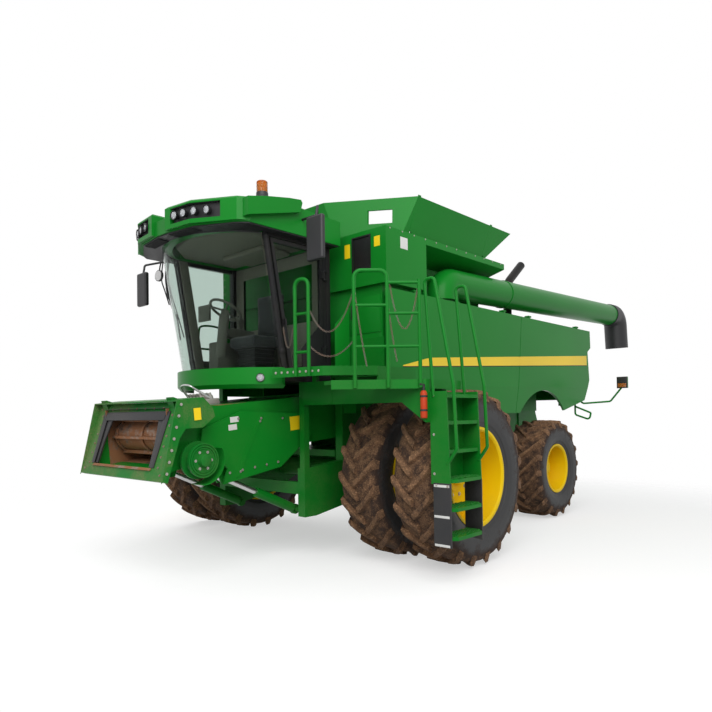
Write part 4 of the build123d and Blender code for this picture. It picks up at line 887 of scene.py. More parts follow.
def makeEaves():
    mesh = bmesh.new()
    both = [list(eaves[key]) + [(-x, y) for x, y in reversed(eaves[key])] for key in ("outer", "inner")]
    addRing(mesh, *both, *eaves["z"])
    for side in (1, -1):
        for step in range(eaves["slats"]):
            x = side * (eaves["slatX"] + eaves["slatPitch"] * step)
            y = eaves["slatFront"] + 0.13 * (abs(x) - eaves["slatX"])
            addBlock(mesh, (x - 0.004, y, 3.672), (x + 0.004, y + eaves["slatLong"], 3.688), 0.001, 1)
    pieceFrom(mesh, "roofEaves", "mouldedBlack", "machine")


# Black foot of the beacon, and its ribbed lens cap.
beacon = {"at": (0.985, -1.760), "footZ": 4.0125, "capZ": 4.186, "ribZ": 4.088, "ribs": 6, "ribPitch": 0.016,
          "foot": [(0, 0.076), (0.012, 0.076), (0.022, 0.066), (0.060, 0.064), (0.066, 0.0585)],
          "cap": [(0, 0.0590), (0.004, 0.0590), (0.012, 0.050), (0.018, 0.030), (0.020, 0)],
          "rib": [(0, 0.0585), (0.004, 0.0605), (0.008, 0.0585)]}


def makeBeacon():
    foot = bmesh.new()
    addTurned(foot, beacon["foot"], (*beacon["at"], beacon["footZ"]), (0, 0, 1))
    pieceFrom(foot, "beaconFoot", "mouldedBlack", "machine")
    cap = bmesh.new()
    addTurned(cap, beacon["cap"], (*beacon["at"], beacon["capZ"]), (0, 0, 1))
    for rib in range(beacon["ribs"]):
        addTurned(cap, beacon["rib"], (*beacon["at"], beacon["ribZ"] + beacon["ribPitch"] * rib), (0, 0, 1))
    pieceFrom(cap, "beaconRibs", "amberLens", "machine")


# Frame of four bars round a hole, facing along y.
def frameOf(mesh, low, high, holeLow, holeHigh, bevel=0.006):
    x0, y0, z0 = low
    x1, y1, z1 = high
    a0, c0 = holeLow
    a1, c1 = holeHigh
    for box in (((x0, y0, z0), (a0, y1, z1)), ((a1, y0, z0), (x1, y1, z1)), ((a0, y0, z0), (a1, y1, c0)),
                ((a0, y0, c1), (a1, y1, z1))):
        addBlock(mesh, *box, bevel=bevel)


# Tan roof lining, fan box and rear wall of the cab, and its grey floor mat.
lining = {"plan": [(0.84, -0.78), (0.84, -1.58), (0.50, -1.90), (0.0, -2.02), (-0.50, -1.90), (-0.84, -1.58),
                   (-0.84, -0.78)],
          "mat": [(0.84, -0.80), (0.84, -1.40), (0.55, -1.72), (0.0, -1.88), (-0.55, -1.72), (-0.84, -1.40),
                  (-0.84, -0.80)],
          "kick": [(-0.80, 2.19), (-1.36, 2.19), (-1.40, 2.41), (-0.80, 2.41)]}


def makeLining():
    mesh = bmesh.new()
    frameOf(mesh, (-0.87, -0.760, 2.19), (0.84, -0.752, 3.69), (-0.68, 2.83), (0.68, 3.53))
    addPrism(mesh, "z", lining["plan"], 3.722, 3.80, bevel=0.02, segments=3)
    addBlock(mesh, (-0.40, -1.30, 3.66), (0.40, -0.85, 3.725), bevel=0.03, segments=3)
    pieceFrom(mesh, "cabLining", "liningTan", "machine")
    floor = bmesh.new()
    addPrism(floor, "z", lining["mat"], 2.1805, 2.192, bevel=0.004)
    addPrism(floor, "x", lining["kick"], -0.876, -0.862, bevel=0.004)
    pieceFrom(floor, "cabFloorMat", "mouldedGrey", "machine")


screenArc = {"radius": 0.95425, "rise": 0.39425, "half": 65.0}      # of the windscreen, seen from above


# Black covers over the corner posts, seals along the windscreen and tan trims inside the posts.
postCover = {"foot": (0.9025, -1.400, 2.19), "head": (0.9025, -1.660, 3.695), "radius": 0.034,
             "collar": [(0, 0.0345), (0.01, 0.039), (0.05, 0.039), (0.06, 0.0345)], "collars": (0.12, 0.95),
             "doorStrip": [(-0.765, 2.20), (-0.70, 2.20), (-0.70, 3.69), (-0.765, 3.69)]}
postTrims = {"right": [(-1.385, 2.20), (-1.265, 2.20), (-1.525, 3.69), (-1.650, 3.69)],
             "left": [(-1.375, 2.20), (-1.335, 2.20), (-1.600, 3.69), (-1.640, 3.69)]}


def makeCabTrims():
    mesh = bmesh.new()
    for side in (1, -1):
        foot, head = [Vector((side * x, y, z)) for x, y, z in (postCover["foot"], postCover["head"])]
        along = head - foot
        addTurned(mesh, [(0, postCover["radius"]), (along.length, postCover["radius"])], foot, along, 20)
        for share in postCover["collars"]:
            addTurned(mesh, postCover["collar"], foot + along * share, along, 20)
    addPrism(mesh, "x", postCover["doorStrip"], 0.9305, 0.938, bevel=0.002)
    pieceFrom(mesh, "postCovers", "satinBlack", "machine")
    sealRow = []
    for z, corner in ((2.190, -1.400), (3.690, -1.680)):
        middle = corner + screenArc["rise"]
        sweep = [radians(screenArc["half"] * (n / 12 - 1)) for n in range(25)]
        reach = screenArc["radius"]
        sealRow.append([(reach * sin(a), middle - reach * cos(a), z) for a in sweep])
    bentBars("screenSeals", sealRow, 0.011, "mouldedBlack", "machine")
    trim = bmesh.new()
    addPrism(trim, "x", postTrims["right"], -0.868, -0.838, bevel=0.010)
    addPrism(trim, "x", postTrims["left"], 0.838, 0.868, bevel=0.008)
    pieceFrom(trim, "postTrims", "liningTan", "machine")


# Wiper arm and cables hanging down beside the right-hand corner post, and the small round mirror there.
wiperSet = {
    "arms": [[(-0.975, -1.72, 3.69), (-0.985, -1.76, 3.55), (-0.975, -1.74, 3.32), (-0.965, -1.63, 3.07),
              (-0.960, -1.52, 2.72)],
             [(-0.955, -1.76, 3.69), (-0.965, -1.79, 3.50), (-0.955, -1.74, 3.20), (-0.950, -1.64, 2.95)],
             [(-0.93, -1.82, 3.69), (-0.945, -1.86, 3.45), (-0.940, -1.80, 3.30), (-0.935, -1.74, 3.12)]],
    "blades": [((-0.965, -1.63, 3.02), (0.0, 0.05, -0.34), 0.013),
               ((-0.975, -1.745, 3.36), (0.0, 0.03, -0.16), 0.024)],
}
roundMirror = {"at": (-1.16, -1.75, 3.53), "facing": (0.15, -0.98, 0),
               "shell": [(-0.03, 0), (-0.028, 0.045), (-0.010, 0.074), (0.012, 0.074), (0.016, 0.066)],
               "glass": [(0.012, 0.067), (0.018, 0.064), (0.022, 0)],
               "arm": [(-1.16, -1.745, 3.60), (-1.16, -1.74, 3.68), (-1.10, -1.74, 3.72)]}


def makeWipers():
    bentBars("wiperArms", wiperSet["arms"], 0.008, "mouldedBlack", "machine")
    mesh = bmesh.new()
    for at, along, wide in wiperSet["blades"]:
        reach = Vector(along).length
        profile = [(0, wide * 0.5), (0.01, wide), (reach - 0.01, wide), (reach, wide * 0.5)]
        addTurned(mesh, profile, at, along, 10)
    pieceFrom(mesh, "wiperBlades", "mouldedBlack", "machine")
    shell, glass = bmesh.new(), bmesh.new()
    addTurned(shell, roundMirror["shell"], roundMirror["at"], roundMirror["facing"], 24)
    pieceFrom(shell, "roundMirror", "mouldedBlack", "machine")
    addTurned(glass, roundMirror["glass"], roundMirror["at"], roundMirror["facing"], 24)
    pieceFrom(glass, "roundMirrorGlass", "groundSteel", "machine")
    bentBars("roundMirrorArm", [roundMirror["arm"]], 0.009, "mouldedBlack", "machine")


seatShape = {"cushion": ((-0.25, -1.33, 2.535), (0.25, -0.86, 2.655)),
             "back": ((-0.235, -0.895, 2.68), (0.235, -0.80, 3.235)),
             "voxel": 0.012, "pressure": 3.0, "cap": 0.016, "folds": 6, "foldPitch": 0.052,
             "arm": [(-0.90, 2.66), (-1.24, 2.66), (-1.42, 2.70), (-1.42, 2.76), (-1.22, 2.80),
                     (-0.90, 2.78)],
             "lever": [(-1.08, 2.80), (-1.12, 2.80), (-1.16, 2.96), (-1.10, 2.98), (-1.04, 2.90)]}


# Stuffed pad: a rounded block swollen by a short cloth run, each point held within the cap.
def stuffedPad(name, low, high, fill):
    mesh = bmesh.new()
    addBlock(mesh, low, high, bevel=0.035, segments=4)
    made = meshFrom(mesh, name)
    made.transform(machineFrame)
    pad = newObject(name, made)
    remesh = pad.modifiers.new("even", "REMESH")
    remesh.mode, remesh.voxel_size = "VOXEL", seatShape["voxel"]
    settle(pad)
    start = [spot.co.copy() for spot in pad.data.vertices]
    swell = pad.modifiers.new("swell", "CLOTH")
    swell.settings.use_pressure = True
    swell.settings.uniform_pressure_force = seatShape["pressure"]
    swell.settings.effector_weights.gravity = 0
    for step in range(1, 21):
        bpy.context.scene.frame_set(step)
    settle(pad)
    bpy.context.scene.frame_set(1)
    for spot, was in zip(pad.data.vertices, start):
        move = spot.co - was
        if move.length > seatShape["cap"]:
            spot.co = was + move.normalized() * seatShape["cap"]
    smooth = pad.modifiers.new("smooth", "SUBSURF")
    smooth.levels = smooth.render_levels = 1
    made = settle(pad)
    made.materials.clear()
    made.materials.append(finishes["seatCloth"])
    made.shade_smooth()
    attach(pad, "machine")
    return pad


def makeSeat():
    for key in ("cushion", "back"):
        pad = stuffedPad("seat" + key.capitalize(), *seatShape[key], fill=0.85)
        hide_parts("operator_seat")
    mesh = bmesh.new()
    addBlock(mesh, (-0.20, -1.27, 2.500), (0.20, -0.92, 2.538), bevel=0.012)
    for fold in range(seatShape["folds"]):
        grow = 0.012 if fold % 2 else 0.0
        rise = fold * seatShape["foldPitch"]
        low, high = (-0.165 - grow, -1.235 - grow, 2.19 + rise), (0.165 + grow, -0.945 + grow, 2.245 + rise)
        addBlock(mesh, low, high, bevel=0.014)
    addBlock(mesh, (-0.06, -0.81, 2.56), (0.06, -0.78, 3.15), bevel=0.01)
    pieceFrom(mesh, "seatBase", "mouldedBlack", "machine")
    arm = bmesh.new()
    addPrism(arm, "x", seatShape["arm"], -0.345, -0.265, bevel=0.018, segments=3)
    addBlock(arm, (-0.52, -1.44, 2.19), (-0.36, -0.86, 2.62), bevel=0.03, segments=3)
    addPrism(arm, "x", seatShape["lever"], -0.335, -0.285, bevel=0.012)
    addBlock(arm, (-0.50, -1.60, 2.86), (-0.26, -1.57, 3.06), bevel=0.01)
    pieceFrom(arm, "armConsole", "mouldedGrey", "machine")


# Handrail outside the right-hand window, and the green panel between the door and the tank.
sideSet = {"rails": [[(-0.925, -1.26, 2.30), (-1.00, -1.26, 2.33), (-1.02, -1.26, 2.40), (-1.02, -1.26, 2.84),
                      (-1.02, -1.22, 2.92), (-1.02, -0.92, 2.92), (-1.02, -0.88, 2.84), (-1.02, -0.88, 2.40),
                      (-1.00, -0.88, 2.33), (-0.925, -0.88, 2.30)],
                     [(-1.02, -1.26, 2.60), (-1.02, -0.88, 2.60)]],
           "panel": [(-0.698, 2.195), (-0.4455, 2.195), (-0.4455, 2.990), (-0.698, 2.760)]}


def makeCabSides():
    bentBars("sideRail", sideSet["rails"], 0.014, "panelGreen", "machine")
    mesh = bmesh.new()
    addPrism(mesh, "x", sideSet["panel"], 1.000, 1.010, bevel=0.003)
    pieceFrom(mesh, "deckSidePanel", "panelGreen", "machine")


makeLamps()
makeCabSides()
makeRecessLiners()
makeEaves()
makeBeacon()
makeLining()
makeCabTrims()
makeWipers()
makeSeat()
print("cab ready")

# Feeder house: liners, plates, hydraulic couplers and bolts
mouth = {"liner": [(0.625, -0.27), (0.625, 0.285), (0.47, 0.285), (0.50, 0.18), (0.545, -0.05),
                   (0.55, -0.27)],
         "lintel": [(-0.64, 0.300), (0.64, 0.300), (0.62, 0.205), (-0.62, 0.205)],
         "cheek": [(0.60, -0.275), (0.665, -0.275), (0.70, 0.300), (0.60, 0.300)],
         "sill": [(-0.016, -0.305), (-0.004, -0.278), (0.10, -0.272), (0.10, -0.279), (0.004, -0.285),
                  (-0.004, -0.305)]}
throat = {"half": 0.6455, "floor": 0.266, "thick": 0.003, "front": -2.76, "bend": -2.30, "rear": -1.20}
whitePlates = [(-2.00, 0.115), (-2.03, 0.035)]
couplers = {"low": (0.40, -2.39, 0.300), "high": (0.66, -2.13, 0.360), "rows": 2, "columns": 4,
            "nose": [(0, 0.026), (0.030, 0.026), (0.034, 0.020), (0.062, 0.020), (0.062, 0.010),
                     (0.050, 0.008)],
            "handle": [(0.43, -2.33, 0.35), (0.43, -2.43, 0.49), (0.47, -2.45, 0.52), (0.60, -2.45, 0.52),
                       (0.64, -2.43, 0.49), (0.64, -2.20, 0.35)]}


def mirrored(outline, side):
    return [(side * a, b) for a, b in outline]


# Black liners round the mouth, and its worn steel sill.
def makeMouth(face):
    liner = bmesh.new()
    addPrism(liner, "y", mouth["lintel"], -0.014, -0.001, bevel=0.006)
    for side in (1, -1):
        addPrism(liner, "y", mirrored(mouth["liner"], side), 0.004, 0.022, bevel=0.004)
        addPrism(liner, "y", mirrored(mouth["cheek"], side), -0.010, -0.0008, bevel=0.004)
    pieceFrom(liner, "mouthLiners", "mouldedBlack", "feeder", face)
    sill = bmesh.new()
    addPrism(sill, "x", mouth["sill"], -0.615, 0.615, bevel=0.001)
    pieceFrom(sill, "mouthSill", "rustyDrum", "feeder", face)


# Thin plates inside the house: rusty floor and walls, and a dark roof.
def makeThroat():
    half, floor, thick = throat["half"], throat["floor"], throat["thick"]
    front, bend, rear = throat["front"], throat["bend"], throat["rear"]
    rusty, roof = bmesh.new(), bmesh.new()
    for mesh, way in ((rusty, -1), (roof, 1)):
        outside = [(front, floor + 0.048), (bend, floor - 0.002), (rear, floor - 0.002)]
        plate = outside + [(y, z - thick) for y, z in reversed(outside)]
        addPrism(mesh, "x", [(y, way * z) for y, z in plate], -half, half)
    for side in (1, -1):
        wall = [(front, -floor - 0.04), (front, floor + 0.04), (rear, floor), (rear, -floor)]
        addPrism(rusty, "x", wall, *sorted((side * half, side * (half - thick))))
    pieceFrom(rusty, "throatLiners", "rustyDrum", "feeder", houseFrame)
    pieceFrom(roof, "throatRoof", "darkGrey", "feeder", houseFrame)


def makeCouplers():
    valve = bmesh.new()
    addBlock(valve, couplers["low"], couplers["high"], bevel=0.01)
    for row in range(couplers["rows"]):
        for column in range(couplers["columns"]):
            at = (0.44 + column * 0.062, -2.33 + row * 0.12, 0.360)
            addTurned(valve, couplers["nose"], at, (0, -0.35, 1), 16)
    pieceFrom(valve, "couplerBlock", "zincSteel", "feeder", houseFrame)
    bentBars("couplerHandle", [couplers["handle"]], 0.012, "groundSteel", "feeder",
             houseFrame)


def makeFeederPieces():
    face = houseFrame @ Matrix.Translation((0, -2.8471, 0)) @ Matrix.Rotation(radians(-17.4) - tilt, 4, "X")
    makeMouth(face)
    makeThroat()
    plates = bmesh.new()
    for y, z in whitePlates:
        addBlock(plates, (0.7121, y - 0.055, z - 0.03), (0.7135, y + 0.055, z + 0.03), 0.0005, 1)
    pieceFrom(plates, "shieldPlates", "chalkWhite", "feeder", houseFrame)
    yellow = bmesh.new()
    addBlock(yellow, (0.7121, -1.22, -0.10), (0.7135, -0.97, 0.06), 0.0005, 1)
    addBlock(yellow, (0.8861, -2.60, 0.17), (0.8875, -2.52, 0.29), 0.0005, 1)
    pieceFrom(yellow, "shieldPlatesYellow", "plateYellow", "feeder", houseFrame)
    makeCouplers()
    rows = lineOf(7, (0.886, -2.73, 0.34), (0.886, -2.95, -0.30), (1, 0, 0))
    rows += lineOf(4, (0.719, -1.95, 0.12), (0.719, -1.02, 0.03), (1, 0, 0))
    rows += lineOf(5, (0.719, -2.12, -0.44), (0.719, -1.45, -0.43), (1, 0, 0))
    rows += lineOf(2, (0.7195, -1.66, 0.06), (0.7195, -1.98, -0.45), (1, 0, 0))
    boltField("feederBolts", rows, 0.010, "feeder", houseFrame)
    faceRows = []
    for side in (1, -1):
        faceRows += lineOf(6, (side * 0.735, 0, 0.26), (side * 0.735, 0, -0.27), (0, -1, 0))
        faceRows += lineOf(2, (side * 0.80, 0, 0.34), (side * 0.80, 0, -0.34), (0, -1, 0))
    faceRows += lineOf(7, (-0.54, 0, 0.335), (0.54, 0, 0.335), (0, -1, 0))
    boltField("faceplateBolts", faceRows, 0.009, "feeder", face, "wornSteel")


# Stepped outer face of the drive pulley, with two belt grooves.
pulley = {"axis": (0, -2.537, -0.235), "bolts": 6,
          "face": [(0.880, 0.168), (0.884, 0.172), (0.897, 0.172), (0.897, 0.160), (0.886, 0.157),
                   (0.886, 0.150), (0.897, 0.147), (0.897, 0.135), (0.886, 0.132), (0.886, 0.125),
                   (0.895, 0.122), (0.895, 0.114), (0.888, 0.108), (0.888, 0.070), (0.935, 0.060),
                   (0.940, 0.050), (0.940, 0)]}


def makePulley():
    mesh = bmesh.new()
    at = tuple(houseFrame @ Vector(pulley["axis"]))
    addTurned(mesh, pulley["face"], at, (1, 0, 0), 48)
    pieceFrom(mesh, "pulleyFace", "castGreen", "pulley", Matrix.Identity(4))
    rows = ringOf(pulley["bolts"], 0.092, (at[0] + 0.889, at[1], at[2]))
    boltField("pulleyBolts", rows, 0.010, "pulley", Matrix.Identity(4))


makeFeederPieces()
makePulley()
print("feeder house ready")

# Ladder, platform and rails
flapSet = {"y": [(-1.0105, -0.9935), (-0.4565, -0.4395)],
           "outline": [(2.622, 1.015), (2.622, 0.418), (2.823, 0.397), (2.823, 1.015)],
           "bands": (0.985, 0.69, 0.415)}
gripSet = {"treads": (0.500, 0.775, 1.050), "from": (2.66, -0.965), "to": (2.83, -0.485), "columns": 5,
           "rows": 11, "radius": 0.012, "deckFrom": (1.08, -1.44), "deckTo": (1.92, -0.50), "deckColumns": 16,
           "deckRows": 18, "deckZ": 2.189, "deckRadius": 0.014}


# Raised punched collars on each point, for sure footing.
def makeGripTree():
    tree, given, out = newTree("gripTree", {"Radius": "Float"})
    foot, head, tall, wide = [times(tree, given["Radius"], share) for share in (1.0, 0.72, 0.5, 0.75)]
    values = {"Vertices": 12, "Radius Bottom": foot, "Radius Top": head, "Depth": tall}
    collar = node(tree, "GeometryNodeMeshCone", values, fill_type="NONE")
    hole = node(tree, "GeometryNodeMeshCircle", {"Vertices": 12, "Radius": wide}, fill_type="NGON")
    lift = node(tree, "GeometryNodeTransform", {"Geometry": hole.outputs[0], "Translation": (0, 0, 0.001)})
    both = joined(tree, collar.outputs["Mesh"], lift.outputs[0])
    spread = node(tree, "GeometryNodeInstanceOnPoints", {"Points": given["Geometry"], "Instance": both})
    return finishTree(tree, spread.outputs[0], given, out)


gripTree = makeGripTree()


def gripField(name, spots, radius):
    rows = [(spot, (0, 0, 1)) for spot in spots]
    addField(name, gripTree, rows, "frameGreen", "machine", "green_paint", Radius=radius)


# Spots in rows from one corner to the other, every second row moved by half a pitch.
def gridOf(first, last, z, columns, rows):
    spots = []
    for row in range(rows):
        for column in range(columns):
            x = first[0] + (last[0] - first[0]) * (column + 0.5 * (row % 2)) / columns
            spots.append((x, first[1] + (last[1] - first[1]) * row / (rows - 1), z))
    return spots


def makeLadderPieces():
    mesh = bmesh.new()
    for low, high in flapSet["y"]:
        addPrism(mesh, "y", flapSet["outline"], low, high, bevel=0.003)
    pieceFrom(mesh, "ladderFlaps", "mouldedBlack", "machine")
    bands = bmesh.new()
    for z in flapSet["bands"]:
        addBlock(bands, (2.632, -1.0125, z - 0.012), (2.808, -1.0105, z + 0.012), bevel=0.0008)
    pieceFrom(bands, "flapBands", "chalkWhite", "machine")
    spots = []
    for z in gripSet["treads"]:
        spots += gridOf(gripSet["from"], gripSet["to"], z + 0.003, gripSet["columns"], gripSet["rows"])
    gripField("treadGrips", spots, gripSet["radius"])
    deck = gridOf(gripSet["deckFrom"], gripSet["deckTo"], gripSet["deckZ"], gripSet["deckColumns"],
                  gripSet["deckRows"])
    deck = [spot for spot in deck if spot[1] > -1.42 + max(0, spot[0] - 1.62) * 0.9]
    gripField("deckGrips", deck, gripSet["deckRadius"])
    rows = lineOf(3, (2.64, -1.0105, 1.86), (2.64, -1.0105, 1.10), (0, -1, 0))
    rows += lineOf(2, (2.66, -1.0125, 0.99), (2.79, -1.0125, 0.985), (0, -1, 0))
    rows += lineOf(8, (1.05, -1.6545, 2.14), (1.60, -1.5485, 2.14), (0.19, -0.98, 0))
    boltField("ladderBolts", rows, 0.009, "machine")


# Chains that hang between the rails, in oval links that turn by a quarter from one to the next.
chainRows = {
    "gateHigh": {"from": (1.50, -1.575, 2.78), "to": (2.10, -1.560, 2.86), "sag": 0.30},
    "gateLow": {"from": (1.50, -1.575, 2.40), "to": (2.10, -1.560, 2.40), "sag": 0.13},
    "looseFront": {"from": (2.125, -1.575, 2.96), "to": (2.215, -1.50, 2.16), "sag": 0.05},
    "looseRear": {"from": (2.345, -1.355, 2.94), "to": (2.405, -1.27, 2.20), "sag": 0.06},
    "landing": {"from": (2.365, -1.320, 2.96), "to": (2.565, -1.135, 2.90), "sag": 0.42},
    "deck": {"from": (1.00, -1.50, 2.66), "to": (1.30, -1.625, 2.60), "sag": 0.22},
}
chainLink = {"long": 0.028, "wide": 0.016, "wire": 0.0025}


def makeChainTree():
    tree, given, out = newTree("chainTree", {"Long": "Float", "Wide": "Float", "Wire": "Float"})
    ring = node(tree, "GeometryNodeCurvePrimitiveCircle", {"Resolution": 10, "Radius": 0.5})
    size = node(tree, "ShaderNodeCombineXYZ", {"X": given["Long"], "Y": given["Wide"]})
    oval = node(tree, "GeometryNodeTransform", {"Geometry": ring.outputs["Curve"], "Scale": size.outputs[0]})
    section = node(tree, "GeometryNodeCurvePrimitiveCircle", {"Resolution": 5, "Radius": given["Wire"]})
    values = {"Curve": oval.outputs[0], "Profile Curve": section.outputs["Curve"]}
    solid = node(tree, "GeometryNodeCurveToMesh", values)
    quarter = turnBy(tree, times(tree, node(tree, "GeometryNodeInputIndex").outputs[0], pi / 2))
    values = {0: facingTurn(tree, "X"), 1: quarter}
    rolled = node(tree, "FunctionNodeRotateRotation", values, rotation_space="LOCAL")
    values = {"Points": given["Geometry"], "Instance": solid.outputs[0], "Rotation": rolled.outputs[0]}
    spread = node(tree, "GeometryNodeInstanceOnPoints", values)
    return finishTree(tree, spread.outputs[0], given, out)


# Spots one link apart along a chain that sags between its ends.
def chainSpots(start, end, sag):
    start, end = Vector(start), Vector(end)
    steps = 400
    shares = [n / steps for n in range(steps + 1)]
    fine = [start.lerp(end, share) - Vector((0, 0, 4 * sag * share * (1 - share))) for share in shares]
    step = chainLink["long"] - 2.6 * chainLink["wire"]
    spots, walked = [], 0.0
    for near, far in zip(fine, fine[1:]):
        walked += (far - near).length
        if walked >= step:
            spots.append((tuple(far), tuple((far - near).normalized())))
            walked = 0.0
    return spots


def makeChains():
    rows = [spot for row in chainRows.values() for spot in chainSpots(row["from"], row["to"], row["sag"])]
    addField("railChains", makeChainTree(), rows, "chainSteel", "machine", "worn_steel",
             Long=chainLink["long"], Wide=chainLink["wide"], Wire=chainLink["wire"])


# Red bottle with a black valve and two straps, on the front of the ladder.
bottle = {"at": (2.585, -1.090, 1.640), "radius": 0.034, "high": 0.27, "straps": (0.25, 0.75),
          "neck": [(-0.002, 0.014), (0.045, 0.014), (0.050, 0.010), (0.050, 0)],
          "lever": [(-0.06, 0.055), (-0.05, 0.070), (0.03, 0.060), (0.03, 0.045), (-0.04, 0.045)]}


def makeBottle():
    radius, high = bottle["radius"], bottle["high"]
    x, y, z = bottle["at"]
    body = bmesh.new()
    profile = [(0, 0), (0, radius * 0.8), (0.008, radius), (high - 0.03, radius),
               (high - 0.008, radius * 0.75), (high, radius * 0.4), (high, 0)]
    addTurned(body, profile, bottle["at"], (0, 0, 1), 28)
    pieceFrom(body, "bottleBody", "signalRed", "machine")
    valve = bmesh.new()
    addTurned(valve, [(high + rise, r) for rise, r in bottle["neck"]], bottle["at"], (0, 0, 1), 16)
    lever = [(y + a, z + high + b) for a, b in bottle["lever"]]
    addPrism(valve, "x", lever, x - 0.008, x + 0.008, bevel=0.003)
    strap = [(0, radius + 0.0005), (0.002, radius + 0.003), (0.018, radius + 0.003), (0.020, radius + 0.0005)]
    for share in bottle["straps"]:
        addTurned(valve, strap, (x, y, z + high * share), (0, 0, 1), 28)
    pieceFrom(valve, "bottleValve", "mouldedBlack", "machine")


makeLadderPieces()
makeChains()
makeBottle()
print("ladder and platform ready")

# Shields, grain tank and engine deck
# The yellow stripe has a dark lower edge, widens rearwards and is in one part for each shield.
stripe = {"start": -0.16, "end": 5.26, "foot": (2.250, 2.520), "wide": (0.012, 0.085, 0.075), "point": 0.10,
          "edge": 0.012, "split": (2.600, 1.670, 0.153), "gap": 0.010, "steps": 24, "deep": (-0.0005, 0.002)}


def shieldSkin(y, z):
    low, high = 2.030 + 0.015 * y, 2.524 + 0.05 * y
    return 1.608 - 0.008 * (z - low) / (high - low)


def stripeFoot(share):
    low, high = stripe["foot"]
    return low + share * (high - low)


def stripeHead(share):
    tip, swell, growth = stripe["wide"]
    return stripeFoot(share) + tip + swell * min(1, share / stripe["point"]) + growth * share


def edgeFoot(share):
    return stripeFoot(share) - stripe["edge"]


# Ends along y of one edge of the stripe on the front or the rear shield.
def stripeEnds(part, edge):
    y0, z0, lean = stripe["split"]
    if part == "front":
        return stripe["start"], y0 + lean * (edge(1) - z0) - stripe["gap"]
    return y0 + lean * (edge(0) - z0) + stripe["gap"], stripe["end"]


def addStripe(mesh, side, part, foot, head):
    inner, outer = stripe["deep"]
    rows = []
    for step in range(stripe["steps"] + 1):
        ring = []
        for edge, deep in ((foot, inner), (head, inner), (head, outer), (foot, outer)):
            start, end = stripeEnds(part, edge)
            y = start + step / stripe["steps"] * (end - start)
            z = edge((y - stripe["start"]) / (stripe["end"] - stripe["start"]))
            ring.append(mesh.verts.new((side * (shieldSkin(y, z) + deep), y, z)))
        rows.append(ring)
    faces = [mesh.faces.new(rows[0]), mesh.faces.new(list(reversed(rows[-1])))] + loft(mesh, rows)
    bmesh.ops.recalc_face_normals(mesh, faces=faces)


def makeStripes():
    bands = (("Stripe", stripeFoot, stripeHead, "plateYellow", "yellow_paint"),
             ("Stripeedge", edgeFoot, stripeFoot, "satinBlack", "black_paint"))
    for word, side in (("Left", 1), ("Right", -1)):
        for part in ("front", "rear"):
            for name, foot, head, finish, slotName in bands:
                mesh = bmesh.new()
                addStripe(mesh, side, part, foot, head)
                pieceFrom(mesh, f"{part}{name}{word}", finish, f"{part}_shield_{word.lower()}")


# Door, sieve screen, plates and bolts of the tank
doorSet = {"x": (0.96, 1.46), "z": (2.66, 3.10), "y": -0.380, "thick": 0.010}


def makeTankPieces():
    mesh = bmesh.new()
    x0, x1 = doorSet["x"]
    z0, z1 = doorSet["z"]
    y = doorSet["y"]
    addBlock(mesh, (x0, y - doorSet["thick"], z0), (x1, y - 0.001, z1), bevel=0.004)
    pieceFrom(mesh, "tankDoor", "panelGreen", "machine")
    handle = bmesh.new()
    addBlock(handle, (x0 + 0.05, y - 0.035, 2.86), (x0 + 0.075, y - 0.009, 3.00), bevel=0.006)
    addBlock(handle, (x0 + 0.035, y - 0.016, 2.84), (x0 + 0.09, y - 0.009, 3.02), bevel=0.003)
    pieceFrom(handle, "tankDoorHandle", "mouldedBlack", "machine")
    screen = bmesh.new()
    frameOf(screen, (1.062, -0.448, 3.392), (1.368, -0.4405, 3.828), (1.085, 3.415), (1.345, 3.805), 0.003)
    addBlock(screen, (1.083, -0.438, 3.413), (1.347, -0.431, 3.807), bevel=0.002)
    pieceFrom(screen, "tankScreen", "satinBlack", "machine")
    plates = bmesh.new()
    for x, z, half in ((0.985, 3.68, 0.085), (1.465, 3.72, 0.060)):
        addBlock(plates, (x - 0.045, -0.4425, z - half), (x + 0.045, -0.4405, z + half), 0.0008, 1)
    pieceFrom(plates, "tankPlatesYellow", "plateYellow", "machine")
    white = bmesh.new()
    addBlock(white, (1.6005, -0.17, 3.66), (1.6025, -0.03, 3.80), bevel=0.0008, segments=1)
    pieceFrom(white, "tankPlateWhite", "chalkWhite", "machine")
    rows = lineOf(6, (-1.56, -0.4405, 3.30), (-1.56, -0.4405, 3.84), (0, -1, 0))
    rows += lineOf(12, (1.6003, -0.36, 3.865), (1.6003, 2.20, 3.865), (1, 0, 0))
    rows += lineOf(12, (-1.6003, -0.36, 3.865), (-1.6003, 2.20, 3.865), (-1, 0, 0))
    boltField("tankBolts", rows, 0.007, "machine")


# Strips outside the gaps before and behind each folding tank cover.
coverSeals = {"low": (1.500, 3.945), "high": (1.650, 4.365), "bands": ((0.134, 0.192), (1.834, 1.886)),
              "thick": 0.004, "off": 0.0015}


def makeCoverSeals():
    (x0, z0), (x1, z1) = coverSeals["low"], coverSeals["high"]
    near = coverSeals["off"]
    far = near + coverSeals["thick"]
    mesh = bmesh.new()
    for side in (1, -1):
        outline = mirrored([(x0 + near, z0), (x1 + near, z1), (x1 + far, z1), (x0 + far, z0)], side)
        for band in coverSeals["bands"]:
            addPrism(mesh, "y", outline, *band)
    pieceFrom(mesh, "coverSeals", "panelGreen", "machine")


exhaust = {"clampAt": (1.04, 3.40), "clampZ": (3.05, 3.60), "end": (1.04, 3.90, 4.23),
           "along": (0, 0.79, 0.615),
           "clamp": [(0, 0.0685), (0.002, 0.074), (0.028, 0.074), (0.030, 0.0685)],
           "mouth": [(-0.112, 0.0), (-0.112, 0.0595), (-0.108, 0.0595), (-0.108, 0.0)]}


